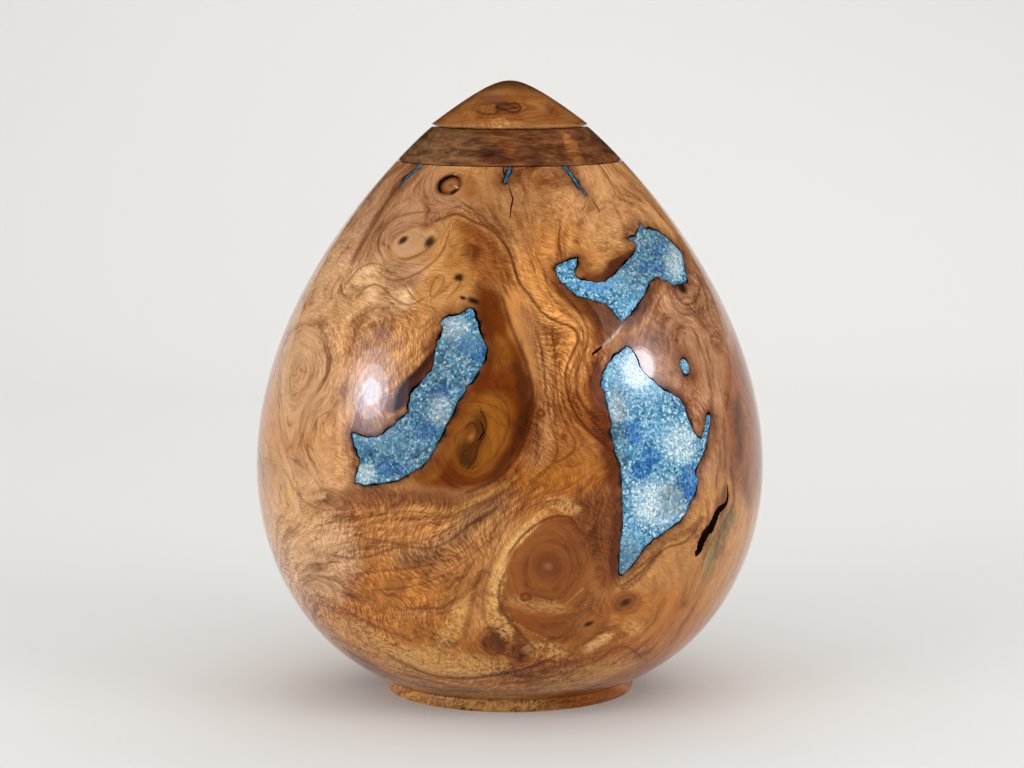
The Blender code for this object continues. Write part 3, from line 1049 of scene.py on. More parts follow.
# %% Choose the patches of colour
# Each patch: corners of its outline, softness of its edge, colour, strength
patches = {
    "column_fibres": ([(515, 300), (545, 318), (552, 350), (556, 400), (560, 440), (545, 470), (520, 470),
        (534, 430), (534, 380), (520, 340)], 8, "mid brown", 0.8),
    "burnt_left_of_stone": ([(598, 352), (604, 372), (601, 398), (606, 424), (612, 470), (614, 520),
        (606, 520), (600, 470), (594, 440), (590, 410), (594, 380)], 4, "red brown", 0.8),
    "burnt_under_upper": ([(552, 268), (562, 284), (582, 300), (602, 306), (618, 318), (612, 330),
        (590, 322), (566, 306), (552, 288)], 5, "red brown", 0.65),
    "burnt_above_bark": ([(440, 330), (456, 312), (444, 336), (452, 344), (430, 352), (420, 356),
        (428, 340)], 5, "brown", 0.7),
    "knot_foot": ([(440, 196), (450, 202), (462, 197), (468, 206), (458, 214), (444, 208)], 4,
        "pink brown", 0.7),
    "under_knot": ([(466, 172), (478, 180), (476, 196), (466, 204), (462, 190)], 5, "copper", 0.6),
    "column_light": ([(548, 318), (570, 330), (572, 345), (562, 375), (566, 402), (582, 430), (602, 445),
        (604, 470), (575, 480), (552, 440), (556, 390), (552, 350)], 7, "toast", 0.5),
    "column_red": ([(572, 300), (594, 330), (592, 352), (584, 372), (584, 398), (598, 418), (604, 430),
        (606, 380), (600, 360), (604, 345), (596, 300)], 5, "copper", 0.85),
    "above_tail": ([(566, 290), (590, 300), (612, 312), (618, 330), (606, 345), (594, 345), (588, 320)],
        5, "brown", 0.85),
    "basin": ([(480, 286), (492, 288), (503, 305), (512, 332), (524, 356), (532, 384), (533, 410),
        (526, 440), (512, 466), (496, 482), (466, 492), (432, 490), (408, 482), (436, 462), (446, 436),
        (452, 410), (472, 384), (488, 352), (478, 320)], 7, "orange", 0.97),
    "basin_top": ([(470, 282), (486, 278), (500, 290), (505, 318), (500, 345), (490, 345), (476, 318)], 9,
        "deep orange", 0.85),
    "basin_glow": ([(494, 330), (506, 338), (514, 360), (506, 372), (490, 372), (490, 350)], 5,
        "olive gold", 0.6),
    "lens": ([(470, 404), (492, 390), (508, 398), (514, 418), (510, 440), (500, 458), (484, 474),
        (466, 476), (454, 462), (448, 440), (456, 418)], 6, "olive gold", 0.85),
    "lens_rim": ([(510, 360), (524, 366), (532, 384), (533, 412), (524, 442), (508, 466), (494, 480),
        (478, 486), (500, 462), (514, 436), (518, 410), (516, 385)], 4, "dark brown", 0.75),
    "leaf_gold": ([(432, 297), (431, 288), (436, 277), (443, 275), (442, 286), (436, 294)], 3, "gold",
        0.55),
    "flame_gold_one": ([(361, 274), (369, 282), (379, 298), (375, 304), (363, 292), (357, 280)], 4,
        "pale cream", 0.6),
    "flame_gold_two": ([(395, 291), (404, 284), (412, 294), (406, 304), (398, 300)], 4, "pale cream",
        0.6),
    "flame_gold_three": ([(345, 300), (352, 310), (351, 324), (344, 314)], 4, "pale cream", 0.45),
    "rose_band": ([(384, 266), (402, 264), (424, 256), (430, 266), (420, 288), (402, 284), (386, 292)], 5,
        "pink brown", 0.6),
    "left_brown_flow": ([(366, 196), (376, 204), (384, 226), (384, 246), (372, 260), (354, 262),
        (352, 246), (362, 224)], 6, "pink brown", 0.7),
    "over_orange": ([(444, 238), (462, 232), (474, 244), (478, 262), (470, 284), (458, 290), (448, 270)],
        6, "olive gold", 0.45),
    "sweep_dusk": ([(392, 556), (410, 546), (440, 536), (458, 520), (480, 504), (504, 494), (522, 490),
        (500, 506), (476, 524), (458, 546), (430, 560), (404, 566)], 4, "grey brown", 0.4),
    "sweep_top": ([(335, 492), (380, 488), (430, 492), (458, 500), (450, 512), (420, 508), (380, 508),
        (345, 512)], 5, "brown", 0.45),
    "eye_inner_dark": ([(500, 576), (504, 584), (500, 602), (508, 620), (524, 636), (520, 642),
        (504, 626), (495, 606), (496, 588)], 3, "brown", 0.9),
    "stone_edge_left": ([(604, 392), (610, 420), (614, 450), (620, 480), (621, 510), (617, 540),
        (612, 560), (606, 556), (610, 520), (609, 480), (604, 440), (598, 400)], 5, "red brown", 0.7),
    "tip_gap": ([(617, 528), (622, 540), (621, 560), (618, 574), (611, 568), (612, 545)], 3, "bark black",
        0.85),
    "wood_thickness": ([(664, 384), (676, 390), (688, 400), (692, 420), (690, 432), (684, 420),
        (678, 404), (666, 396)], 3, "red brown", 0.85),
    "shell_thickness": ([(578, 276), (600, 275), (618, 263), (632, 250), (635, 256), (620, 272),
        (602, 283), (582, 284)], 3, "dark brown", 0.85),
    "grey_right": ([(645, 288), (654, 284), (653, 300), (646, 318), (634, 332), (636, 310)], 4,
        "grey brown", 0.7),
    "grey_left": ([(590, 304), (606, 305), (619, 316), (619, 330), (610, 340), (600, 322)], 5,
        "grey brown", 0.6),
    "olive_knot": ([(480, 410), (488, 420), (487, 436), (480, 448), (478, 462), (468, 471), (458, 466),
        (456, 450), (464, 438), (470, 424)], 7, "olive dark", 0.85),
    "knot_light": ([(470, 430), (477, 428), (478, 438), (470, 444), (466, 438)], 4, "olive gold", 0.6),
    "beside_stone": ([(470, 392), (456, 410), (448, 432), (440, 456), (424, 474), (412, 482), (430, 484),
        (446, 466), (454, 440), (462, 416), (478, 394)], 3, "olive gold", 0.7),
    "under_basin": ([(400, 486), (470, 494), (500, 484), (516, 470), (524, 478), (500, 500), (470, 512),
        (430, 506), (390, 496)], 5, "brown", 0.75),
    "ash_band": ([(390, 566), (412, 556), (432, 554), (452, 542), (462, 526), (480, 512), (500, 500),
        (504, 508), (480, 530), (464, 548), (440, 560), (410, 568)], 5, "ash brown", 0.75),
    "honey_cove": ([(530, 480), (548, 462), (572, 452), (596, 458), (610, 480), (612, 510), (590, 512),
        (560, 508), (540, 500)], 7, "honey", 0.75),
    "cove_orange": ([(534, 500), (548, 484), (566, 478), (580, 486), (584, 500), (560, 500)], 6, "amber",
        0.7),
    "under_cove": ([(568, 500), (612, 490), (618, 530), (622, 560), (604, 600), (592, 570), (586, 536),
        (570, 516)], 6, "brown", 0.8),
    "eye_field": ([(558, 514), (574, 518), (588, 536), (592, 566), (588, 598), (576, 620), (546, 632),
        (522, 636), (508, 626), (498, 606), (500, 586), (508, 562), (520, 542), (538, 524)], 4, "copper",
        0.9),
    "eye_dark": ([(540, 545), (560, 548), (568, 562), (562, 584), (544, 584), (532, 570)], 7, "brown",
        0.5),
    "below_eye": ([(512, 610), (536, 620), (572, 612), (600, 598), (616, 612), (606, 632), (570, 642),
        (530, 640)], 5, "copper", 0.75),
    "eye_gold_edge": ([(549, 508), (556, 514), (538, 522), (521, 538), (511, 555), (504, 571), (497, 586),
        (495, 602), (501, 620), (510, 636), (504, 636), (492, 620), (486, 604), (488, 590), (495, 572),
        (500, 556), (508, 540), (522, 524)], 4, "warm tan", 0.4),
    "gold_heap": ([(372, 634), (392, 642), (414, 652), (434, 650), (440, 662), (470, 656), (500, 662),
        (508, 655), (506, 668), (480, 678), (440, 676), (408, 664), (384, 652)], 4, "gold", 0.55),
    "gold_wedge": ([(462, 598), (472, 600), (468, 622), (458, 640), (440, 642), (430, 654), (420, 648),
        (436, 634), (450, 620)], 12, "gold", 0.4),
    "brown_notch": ([(440, 641), (460, 640), (456, 646), (446, 650), (440, 656), (436, 650)], 3, "brown",
        0.8),
    "gold_triangle": ([(528, 640), (548, 640), (570, 652), (550, 658), (530, 660)], 4, "honey", 0.75),
    "gold_patch": ([(582, 648), (596, 638), (612, 632), (614, 638), (600, 648), (586, 654)], 3, "tan",
        0.75),
    "low_light": ([(510, 690), (560, 682), (600, 668), (640, 658), (636, 668), (600, 682), (560, 694)], 5,
        "warm tan", 0.7),
    "orange_arch": ([(452, 218), (470, 222), (490, 232), (504, 246), (512, 266), (514, 288), (500, 286),
        (484, 284), (470, 270), (462, 246)], 7, "copper", 0.85),
    "shell": ([(588, 230), (600, 222), (616, 220), (622, 228), (618, 240), (612, 252), (600, 252),
        (592, 242)], 9, "tan", 0.5),
    "shell_cup": ([(574, 262), (590, 256), (602, 258), (606, 266), (596, 278), (580, 276)], 4, "honey",
        0.8),
    "shell_dark": ([(602, 264), (620, 256), (632, 250), (634, 262), (618, 276), (602, 282)], 3,
        "dark brown", 0.85),
    "grey_wedge": ([(602, 300), (622, 306), (640, 296), (650, 290), (648, 312), (632, 330), (618, 334),
        (610, 318)], 4, "grey brown", 0.7),
    "right_red": ([(612, 336), (640, 330), (680, 340), (700, 366), (704, 400), (692, 390), (676, 366),
        (650, 350), (620, 350)], 7, "copper", 0.55),
    "left_dusk": ([(352, 262), (366, 232), (392, 192), (404, 186), (400, 208), (382, 240), (366, 270)], 6,
        "mid brown", 0.6),
    "bark_shadow": ([(388, 412), (398, 388), (416, 366), (440, 344), (444, 352), (428, 372), (412, 392),
        (402, 412)], 2, "bark black", 1.0),
    "bark_light": ([(412, 388), (430, 366), (442, 350), (440, 362), (428, 378), (414, 396)], 3, "amber",
        0.6),
    "far_streak_one": ([(734, 396), (740, 392), (744, 430), (742, 464), (736, 460), (734, 430)], 4,
        "dark brown", 0.7),
    "far_streak_two": ([(742, 480), (750, 478), (752, 506), (744, 512)], 4, "dark brown", 0.6),
    "olive_run": ([(730, 503), (738, 512), (730, 534), (719, 556), (707, 580), (701, 572), (706, 552),
        (718, 526)], 3, "olive grey", 1.0),
    "crevice_lip": ([(722, 484), (730, 486), (730, 504), (714, 526), (704, 550), (694, 554), (698, 540),
        (712, 516)], 3, "brown", 0.7),
    "stone_shadow_low": ([(608, 470), (614, 490), (613, 530), (609, 560), (614, 578), (622, 582),
        (616, 570), (612, 540), (618, 500)], 3, "dark brown", 0.8),
}
print("patches:", len(patches))

# %% Choose the dabs and strokes of colour
# Each dab: centre, half width and half height, lean in degrees, colour, strength, softness
dabs = {
    "left_cheek": ((300, 430), (70, 150), 0, "tan", 0.95, 0.7),
    "left_edge": ((262, 430), (26, 130), 0, "warm tan", 0.5, 0.8),
    "upper_left": ((345, 255), (75, 60), -35, "pale tan", 0.85, 0.7),
    "shoulder_left": ((400, 205), (55, 40), -20, "pink brown", 0.7, 0.7),
    "top_centre": ((535, 215), (75, 55), 0, "mid brown", 0.85, 0.7),
    "reddish_top": ((547, 183), (16, 11), 0, "copper", 0.6, 0.6),
    "reddish_top_right": ((589, 171), (9, 7), 0, "copper", 0.5, 0.6),
    "top_orange_side": ((547, 244), (15, 20), 0, "copper", 0.55, 0.6),
    "upper_right": ((610, 200), (60, 38), 20, "tan", 0.7, 0.7),
    "centre": ((558, 340), (60, 115), 0, "bright honey", 0.9, 0.6),
    "centre_low": ((565, 460), (75, 70), 0, "amber", 0.9, 0.6),
    "right_side": ((700, 370), (60, 120), 0, "pink brown", 0.9, 0.6),
    "far_right": ((748, 420), (24, 105), 0, "dusk brown", 0.9, 0.6),
    "right_low": ((722, 555), (50, 70), 0, "warm tan", 0.9, 0.6),
    "right_bottom": ((655, 640), (70, 48), -25, "low amber", 0.9, 0.6),
    "bottom": ((540, 665), (110, 36), 0, "amber", 0.85, 0.6),
    "lower_left": ((385, 560), (105, 66), 0, "toast", 0.85, 0.6),
    "left_low": ((300, 540), (40, 80), 0, "pale tan", 0.8, 0.7),
    "left_gold": ((390, 615), (88, 48), 20, "low amber", 0.85, 0.7),
    "band_low": ((430, 692), (110, 20), 6, "bright honey", 0.75, 0.6),
    "left_brown": ((318, 505), (20, 16), 10, "honey", 0.5, 0.6),
    "under_stone_left": ((360, 497), (50, 9), 2, "brown", 0.55, 0.7),
    "purple_patch": ((401, 277), (19, 13), 10, "purple brown", 0.6, 0.6),
    "purple_low": ((388, 306), (26, 12), -25, "pink brown", 0.5, 0.6),
    "cream_flame_one": ((365, 278), (13, 8), -30, "pale cream", 0.7, 0.6),
    "cream_flame_two": ((401, 294), (13, 5), -20, "pale cream", 0.75, 0.6),
    "cream_flame_three": ((404, 304), (12, 5), -20, "pale cream", 0.6, 0.6),
    "left_shade": ((373, 430), (12, 18), 10, "grey brown", 0.5, 0.6),
    "left_swirl_tan": ((302, 370), (34, 60), 0, "pale tan", 0.85, 0.8),
    "pink_fan": ((658, 308), (14, 22), 20, "rose tan", 0.6, 0.6),
    "wood_finger": ((697, 414), (8, 22), 0, "rose tan", 0.7, 0.5),
    "soft_spot": ((395, 585), (11, 7), -10, "honey", 0.8, 0.5),
    "far_soft_spot": ((356, 627), (9, 9), 0, "honey", 0.6, 0.5),
    "sub_eye": ((495, 643), (14, 13), 0, "brown", 0.75, 0.5),
    "under_eye": ((521, 653), (12, 11), 0, "brown", 0.85, 0.5),
    "knot_red": ((625, 603), (17, 13), -20, "copper", 0.7, 0.5),
    "beside_eye_right": ((600, 572), (15, 48), 0, "copper", 0.65, 0.6),
    "left_lower_light": ((324, 560), (34, 44), 0, "pale tan", 0.95, 0.7),
    "right_copper": ((700, 560), (26, 40), 30, "copper", 0.2, 0.7),
    "foot_gold": ((484, 702), (66, 12), 3, "brown", 0.75, 0.5),
    "foot_brown": ((598, 700), (42, 12), -3, "copper", 0.85, 0.5),
}
# Each stroke: pixels along it, half width, colour, strength
strokes = {
    "arch_glow": ([(455, 212), (474, 220), (492, 230), (506, 246), (514, 264), (520, 286), (534, 306),
        (552, 322)], 3.5, "warm tan", 0.6),
    "gold_rise": ([(404, 508), (430, 515), (455, 512), (478, 500), (500, 488), (516, 476)], 2.4, "gold",
        0.55),
    "pale_sweep": ([(399, 616), (425, 612), (449, 606)], 3, "tan", 0.4),
    "left_pale_line": ([(300, 522), (299, 508), (304, 498), (325, 495)], 2.4, "pale cream", 0.6),
    "left_gold_run": ([(288, 530), (286, 500), (293, 482)], 3, "gold", 0.5),
    "tail_of_fill": ([(621, 322), (620, 328), (615, 335), (609, 341), (603, 346)], 0.9, "ice", 0.7),
    "eye_low_gold": ([(530, 604), (545, 608), (560, 606), (575, 597), (583, 588)], 0.5, "gold", 0.5),
    "low_gold_line": ([(513, 622), (530, 634), (545, 638)], 0.6, "gold", 0.5),
    "stone_low_edge": ([(650, 562), (668, 540), (690, 530), (702, 518)], 3, "brown", 0.6),
}
# Each line: pixels along it, half width in millimetres, strength; these stay thin and crisp
growth_lines = {
    "sweep_three": ([(352, 534), (395, 545), (430, 540), (462, 520), (490, 500), (520, 478)], 0.4, 0.4),
    "sweep_four": ([(350, 575), (390, 570), (430, 566), (460, 556), (485, 530), (508, 508), (534, 490)],
        0.45, 0.4),
    "sweep_five": ([(372, 590), (410, 588), (444, 576), (468, 560), (490, 538)], 0.35, 0.45),
    "beside_eye_one": ([(510, 500), (497, 524), (486, 550), (480, 578), (473, 604), (466, 636)], 0.45,
        0.35),
    "beside_eye_two": ([(524, 506), (508, 522), (496, 546), (490, 570), (482, 596), (484, 622),
        (498, 640)], 0.4, 0.35),
    "beside_eye_three": ([(478, 540), (466, 566), (458, 592), (446, 618), (430, 640)], 0.35, 0.3),
    "low_left_one": ([(330, 600), (356, 616), (384, 630), (410, 640)], 0.35, 0.4),
    "left_rim": ([(284, 470), (300, 500), (326, 512), (352, 508)], 0.35, 0.35),
    "over_oval": ([(385, 262), (376, 244), (384, 226), (402, 214), (424, 212)], 0.35, 0.45),
    "under_oval_two": ([(378, 272), (392, 282), (414, 276), (432, 264), (444, 250), (448, 236)], 0.35,
        0.5),
    "leaf": ([(431, 300), (430, 290), (434, 280), (440, 274), (445, 278), (441, 288), (434, 297)], 0.3,
        0.4),
    "leaf_two": ([(433, 299), (446, 289), (453, 280)], 0.3, 0.35),
    "leaf_three": ([(447, 299), (455, 291), (461, 283), (460, 275), (454, 279)], 0.3, 0.35),
    "flame_one": ([(356, 298), (372, 282), (384, 288), (396, 302), (412, 306), (424, 298)], 0.3, 0.5),
    "flame_two": ([(346, 284), (360, 266), (378, 262), (390, 272)], 0.3, 0.45),
    "column_low": ([(536, 330), (544, 360), (546, 395), (552, 428), (560, 450), (548, 470), (528, 486)],
        0.35, 0.5),
    "column_low_two": ([(552, 330), (556, 360), (556, 392), (564, 424), (578, 444), (570, 456),
        (548, 466), (530, 482)], 0.35, 0.5),
    "knot_strand": ([(482, 412), (487, 424), (484, 436), (477, 446), (476, 458), (468, 468)], 0.4, 0.9),
    "knot_strand_two": ([(466, 428), (470, 422), (476, 424), (478, 434), (472, 446), (463, 452),
        (461, 462)], 0.3, 0.8),
    "lens_inner": ([(494, 392), (506, 402), (510, 418), (505, 440), (492, 460), (476, 472)], 0.4, 0.4),
    "arch": ([(436, 221), (452, 214), (460, 214), (472, 221), (490, 228), (504, 242), (513, 260),
        (517, 280), (530, 296), (541, 312), (556, 322), (574, 327), (580, 339), (571, 356), (564, 374),
        (568, 401), (584, 428), (600, 440)], 0.45, 0.75),
    "second": ([(552, 282), (566, 296), (580, 312), (589, 331), (586, 351), (577, 371), (575, 392),
        (586, 410), (600, 421)], 0.5, 0.6),
    "third": ([(584, 350), (588, 372), (594, 392), (603, 404)], 0.5, 0.55),
    "basin_edge": ([(503, 300), (512, 330), (522, 352), (531, 378), (533, 408), (526, 440), (511, 466),
        (494, 482), (468, 492)], 0.6, 0.7),
    "knot_tail": (flows["knot_tail"][::-1], 0.35, 0.6),
    "left_swirl": (flows["left_swirl"] + [(286, 451)], 0.5, 0.2),
    "upper_left": ([(352, 262), (372, 226), (395, 190)], 0.8, 0.5),
    "oval_under": ([(388, 247), (399, 259), (412, 258), (424, 252), (436, 240)], 0.4, 0.7),
    "eye_top": ([(510, 552), (520, 538), (536, 524), (552, 516), (570, 516), (576, 524)], 0.4, 0.75),
    "eye_side": ([(479, 575), (473, 594), (467, 619), (463, 638)], 0.35, 0.3),
    "eye_inner": ([(505, 574), (498, 590), (500, 606), (510, 622), (524, 638), (536, 650)], 0.5, 0.6),
    "sweep_one": ([(330, 523), (345, 520), (375, 516), (411, 509), (446, 519), (482, 503), (509, 482),
        (527, 460)], 0.4, 0.35),
    "sweep_two": ([(335, 556), (362, 560), (399, 545), (430, 550), (452, 540), (470, 524), (496, 508)],
        0.45, 0.5),
    "gold_underline": ([(390, 656), (412, 668), (436, 677), (470, 679), (496, 675), (530, 668),
        (556, 656)], 0.4, 0.7),
    "bottom_one": ([(343, 648), (372, 666), (400, 680), (436, 690), (480, 692)], 0.45, 0.6),
    "bottom_two": ([(360, 662), (390, 680), (420, 692), (470, 698)], 0.35, 0.5),
    "bottom_three": ([(500, 684), (540, 680), (580, 668), (606, 656)], 0.4, 0.5),
    "hill": ([(600, 660), (612, 648), (628, 646), (640, 656)], 0.45, 0.5),
    "stone_low_one": ([(622, 586), (640, 574), (656, 556), (668, 546), (684, 544), (696, 530)], 0.4,
        0.65),
    "stone_low_two": ([(610, 560), (612, 578), (622, 592), (640, 580), (654, 562)], 0.35, 0.5),
    "right_fan_one": ([(648, 330), (654, 308), (668, 288), (680, 276)], 0.4, 0.35),
    "olive_u": ([(674, 284), (677, 300), (688, 306), (697, 300), (700, 286)], 0.4, 0.6),
    "olive_u_two": ([(668, 288), (674, 310), (688, 316), (702, 308)], 0.4, 0.45),
    "right_one": ([(700, 470), (709, 440), (713, 400), (706, 360), (694, 330)], 0.4, 0.35),
    "right_two": ([(712, 560), (722, 520), (727, 470), (724, 420)], 0.5, 0.35),
    "lip": ([(733, 484), (735, 502), (726, 520), (712, 540), (704, 558)], 0.4, 0.5),
}
print("dabs:", len(dabs), "strokes:", len(strokes), "growth lines:", len(growth_lines))

# %% Choose where the figure is rippled, flecked with a painted sheen, or smooth
# Each zone: centre, half width and half height, lean, strength
smooth_zones = {
    "basin": ((492, 400), (40, 105), 12, 1.0), "basin_low": ((455, 480), (48, 18), -12, 0.8),
    "eye": ((548, 568), (42, 54), 0, 0.95), "oval": ((412, 242), (24, 17), 0, 0.9),
    "plug": ((450, 184), (18, 18), 0, 1.0), "right_low": ((690, 600), (50, 60), 30, 0.6),
    "shell_cup": ((589, 268), (16, 12), 0, 0.9), "right_side": ((740, 450), (30, 120), 0, 0.6),
    "below_eye": ((560, 630), (50, 22), 0, 0.5), "soft_spot": ((395, 585), (12, 8), 0, 0.8),
    "left_far": ((280, 400), (40, 110), 0, 0.75), "top": ((545, 200), (90, 40), 0, 0.45),
    "cheek": ((305, 430), (40, 90), 0, 0.3), "right_edge": ((700, 600), (60, 60), -30, 0.5),
    "left_lower": ((318, 560), (24, 36), 0, 0.4),
}
# Flecked zones: gold flecks of the grain, with the wood's shimmering sheen painted in as bright colour
fleck_sheen_zones = {
    "gold_heap": ((440, 662), (68, 13), 7, 0.8), "gold_wedge": ((452, 625), (10, 28), 24, 0.8),
    "gold_low_left": ((360, 636), (40, 12), 26, 0.6), "eye_edge_top": ((524, 533), (32, 6), -46, 0.9),
    "eye_edge_side": ((497, 585), (7, 34), 12, 0.9), "eye_edge_low": ((505, 628), (8, 14), -24, 0.7),
    "triangle": ((546, 650), (22, 8), 6, 0.6), "patch": ((599, 642), (17, 5), -25, 0.8),
    "foot": ((470, 702), (82, 11), 3, 0.6), "cream_flames": ((372, 292), (46, 26), -25, 0.3),
    "eye_spots": ((540, 606), (34, 7), 8, 0.4),
    "low_light": ((590, 672), (50, 10), -14, 0.4), "right_specks": ((632, 628), (12, 8), 0, 0.5),
    "left_edge": ((300, 520), (24, 44), 0, 0.4), "above_eye": ((562, 505), (20, 8), 20, 0.5),
    "shell": ((604, 238), (18, 14), -25, 0.45), "shell_low": ((594, 264), (13, 8), 0, 0.4),
}
lively_zones = {
    "sweep": ((420, 535), (120, 50), -14, 0.9), "sweep_low": ((360, 600), (90, 45), 20, 0.8),
    "above_stone": ((400, 350), (60, 60), -40, 0.6), "top": ((560, 205), (60, 34), 0, 0.5),
    "column": ((545, 380), (26, 80), 0, 0.8), "bottom": ((480, 672), (120, 26), 0, 0.8),
    "right_ripple": ((600, 364), (16, 18), 0, 0.7), "finger": ((697, 414), (9, 24), 0, 0.8),
}
print("zones:", len(smooth_zones), "smooth,", len(fleck_sheen_zones), "fleck_sheened,", len(lively_zones), "lively")

# %% Lay the colour on the vertices
edge_wander = 2.6
stir_depth = 0.06
stir_pixels = 90
broad_pitch = 22.0
fine_pitch = 150.0
patch_reach = 12


def noise_at(points, pitch, shift):
    """Smooth noise between minus one and one at many points."""
    shift = Vector((shift, shift * 0.37, -shift))
    return np.array([noise.noise(Vector(p) * pitch + shift) for p in points])


def fold_back(points):
    """The pixels of points, with the far half read as if it were the near one."""
    folded = np.array(points, float)
    folded[:, 1] = -np.abs(folded[:, 1])
    return to_pixels(folded)


def painting_places(points):
    """Where each vertex reads the painting, true and with wandering edges; the back is stirred."""
    stir = np.clip(points[:, 1] / stir_depth, 0, 1)
    broad = np.stack([noise_at(points, broad_pitch, 3.0), noise_at(points, broad_pitch, 9.0)], axis=1)
    fine = np.stack([noise_at(points, fine_pitch, 5.0), noise_at(points, fine_pitch, 11.0)], axis=1)
    pixels = fold_back(points) + broad * (stir_pixels * stir)[:, None]
    return pixels, pixels + fine * edge_wander


def line_distance(pixels, line):
    """How far each pixel is from a drawn line, with a minus sign on its left."""
    best = np.full(len(pixels), 1e9)
    sign = np.ones(len(pixels))
    for start, end in zip(line, line[1:]):
        start = np.array(start, float)
        run = np.array(end, float) - start
        share = np.clip((pixels - start) @ run / max(run @ run, 1e-9), 0, 1)
        gap = pixels - start - share[:, None] * run
        length = np.hypot(gap[:, 0], gap[:, 1])
        closer = length < best
        best = np.where(closer, length, best)
        side = run[0] * (pixels[:, 1] - start[1]) - run[1] * (pixels[:, 0] - start[0])
        sign = np.where(closer, np.where(side < 0, -1.0, 1.0), sign)
    return best, sign


def inside_outline(pixels, outline):
    """Whether each pixel lies inside a closed outline."""
    inside = np.zeros(len(pixels), bool)
    x, y = pixels.T
    for (x0, y0), (x1, y1) in zip(outline, outline[1:] + outline[:1]):
        crosses = (y0 > y) != (y1 > y)
        at = x0 + (y - y0) * (x1 - x0) / ((y1 - y0) or 1e-9)
        inside ^= crosses & (x < at)
    return inside


def curved(line, closed=False):
    """The same line with its corners rounded twice."""
    for _ in range(2):
        pairs = list(zip(line, line[1:] + line[:1])) if closed else list(zip(line, line[1:]))
        rounded = []
        for (x0, y0), (x1, y1) in pairs:
            rounded.append((x0 * 0.75 + x1 * 0.25, y0 * 0.75 + y1 * 0.25))
            rounded.append((x0 * 0.25 + x1 * 0.75, y0 * 0.25 + y1 * 0.75))
        line = rounded if closed else [line[0]] + rounded + [line[-1]]
    return line


def soft_step(value):
    """A smooth rise from nought to one."""
    value = np.clip(value, 0, 1)
    return value * value * (3 - 2 * value)


def dab_mask(pixels, centre, radii, lean, softness):
    """How much each pixel takes of a dab: one inside, fading over the outer share."""
    turn = math.radians(lean)
    away = pixels - np.array(centre, float)
    across = (away[:, 0] * math.cos(turn) + away[:, 1] * math.sin(turn)) / radii[0]
    down = (-away[:, 0] * math.sin(turn) + away[:, 1] * math.cos(turn)) / radii[1]
    reach = np.hypot(across, down)
    return soft_step((1 + softness * 0.5 - reach) / max(softness, 0.01))


def patch_mask(pixels, outline, softness):
    """How much each pixel takes of a patch, fading a little on both sides of its outline."""
    share = np.zeros(len(pixels))
    corners = np.array(outline, float)
    low = corners.min(axis=0) - patch_reach
    high = corners.max(axis=0) + patch_reach
    near = ((pixels > low) & (pixels < high)).all(axis=1)
    outline = curved(outline, True)
    gap, _ = line_distance(pixels[near], outline + outline[:1])
    gap = np.where(inside_outline(pixels[near], outline), gap, -gap)
    share[near] = soft_step(gap / softness * 0.5 + 0.5)
    return share


def paint_body(places):
    """The wood colour at each pixel of the painting."""
    colour = np.tile(wood_light["warm tan"], (len(places), 1))
    for centre, radii, lean, name, strength, softness in dabs.values():
        share = dab_mask(places, centre, radii, lean, softness)[:, None] * strength
        colour += (wood_light[name] - colour) * share
    for outline, softness, name, strength in patches.values():
        share = patch_mask(places, outline, softness)[:, None] * strength
        colour += (wood_light[name] - colour) * share
    for line, half_width, name, strength in strokes.values():
        gap, _ = line_distance(places, line)
        share = soft_step((half_width * 1.6 - gap) / half_width)[:, None] * strength
        colour += (wood_light[name] - colour) * share
    return colour


def zone_share(places, zones):
    """How much each pixel lies in any of the zones."""
    share = np.zeros(len(places))
    for centre, radii, lean, strength in zones.values():
        share = np.maximum(share, dab_mask(places, centre, radii, lean, 0.6) * strength)
    return share


pixel_size = 0.407


def line_gaps(places):
    """Signed millimetres to the nearest growth line, in units of its width, and its strength."""
    best = np.full(len(places), 30.0)
    signed = np.full(len(places), 30.0)
    strengths = np.zeros(len(places))
    for line, width, strength in growth_lines.values():
        gap, sign = line_distance(places, curved(line))
        gap = gap * pixel_size / width
        closer = gap < best
        best = np.where(closer, gap, best)
        signed = np.where(closer, gap * sign, signed)
        strengths = np.where(closer, strength, strengths)
    return np.clip(signed, -30, 30), strengths


def opening_gaps(points):
    """Millimetres from each point to the nearest edge of a pocket."""
    corners = [corner for loop in pocket_loops.values() for corner in loop]
    edge = KDTree(len(corners))
    for number, corner in enumerate(corners):
        edge.insert(corner, number)
    edge.balance()
    return np.array([min(edge.find(point)[2] * 1000, 20.0) for point in points])


def attribute(mesh, name, values, kind="FLOAT"):
    """Store one number or one colour for each vertex."""
    layer = mesh.attributes.new(name, kind, "POINT")
    if kind == "FLOAT":
        layer.data.foreach_set("value", np.asarray(values, np.float32))
    elif kind == "FLOAT_VECTOR":
        layer.data.foreach_set("vector", np.asarray(values, np.float32).ravel())
    else:
        padded = np.concatenate([values, np.ones((len(values), 1))], axis=1)
        layer.data.foreach_set("color", padded.astype(np.float32).ravel())


body_points = vertex_array(vessel.data)
true_places, loose_places = painting_places(body_points)
line_gap, line_strength = line_gaps(true_places)
body_numbers = {
    "growth": growth_at(body_points), "reach": reach_at(body_points),
    "smooth": zone_share(loose_places, smooth_zones), "fleck_sheen": zone_share(loose_places, fleck_sheen_zones),
    "lively": zone_share(loose_places, lively_zones), "line_gap": line_gap,
    "line_strength": line_strength, "edge_gap": opening_gaps(body_points),
}
for name, values in body_numbers.items():
    attribute(vessel.data, name, values)
attribute(vessel.data, "tone", paint_body(loose_places), "FLOAT_COLOR")
print("painted", len(body_points), "vertices of the vessel")

# %% [markdown]
# Lacquered burl is three things on top of each other: the painted tone, growth bands that follow the
# fitted field, and a clear coat. The bands are four dimensional noise: three dimensions drift slowly
# along the wood, and the fourth is the growth value, which changes fast across the grain. So each
# streak is long one way and thin the other, whichever way the grain turns.

# %% Helpers for finishes
body_gloss = 0.05
coat_index = 1.22


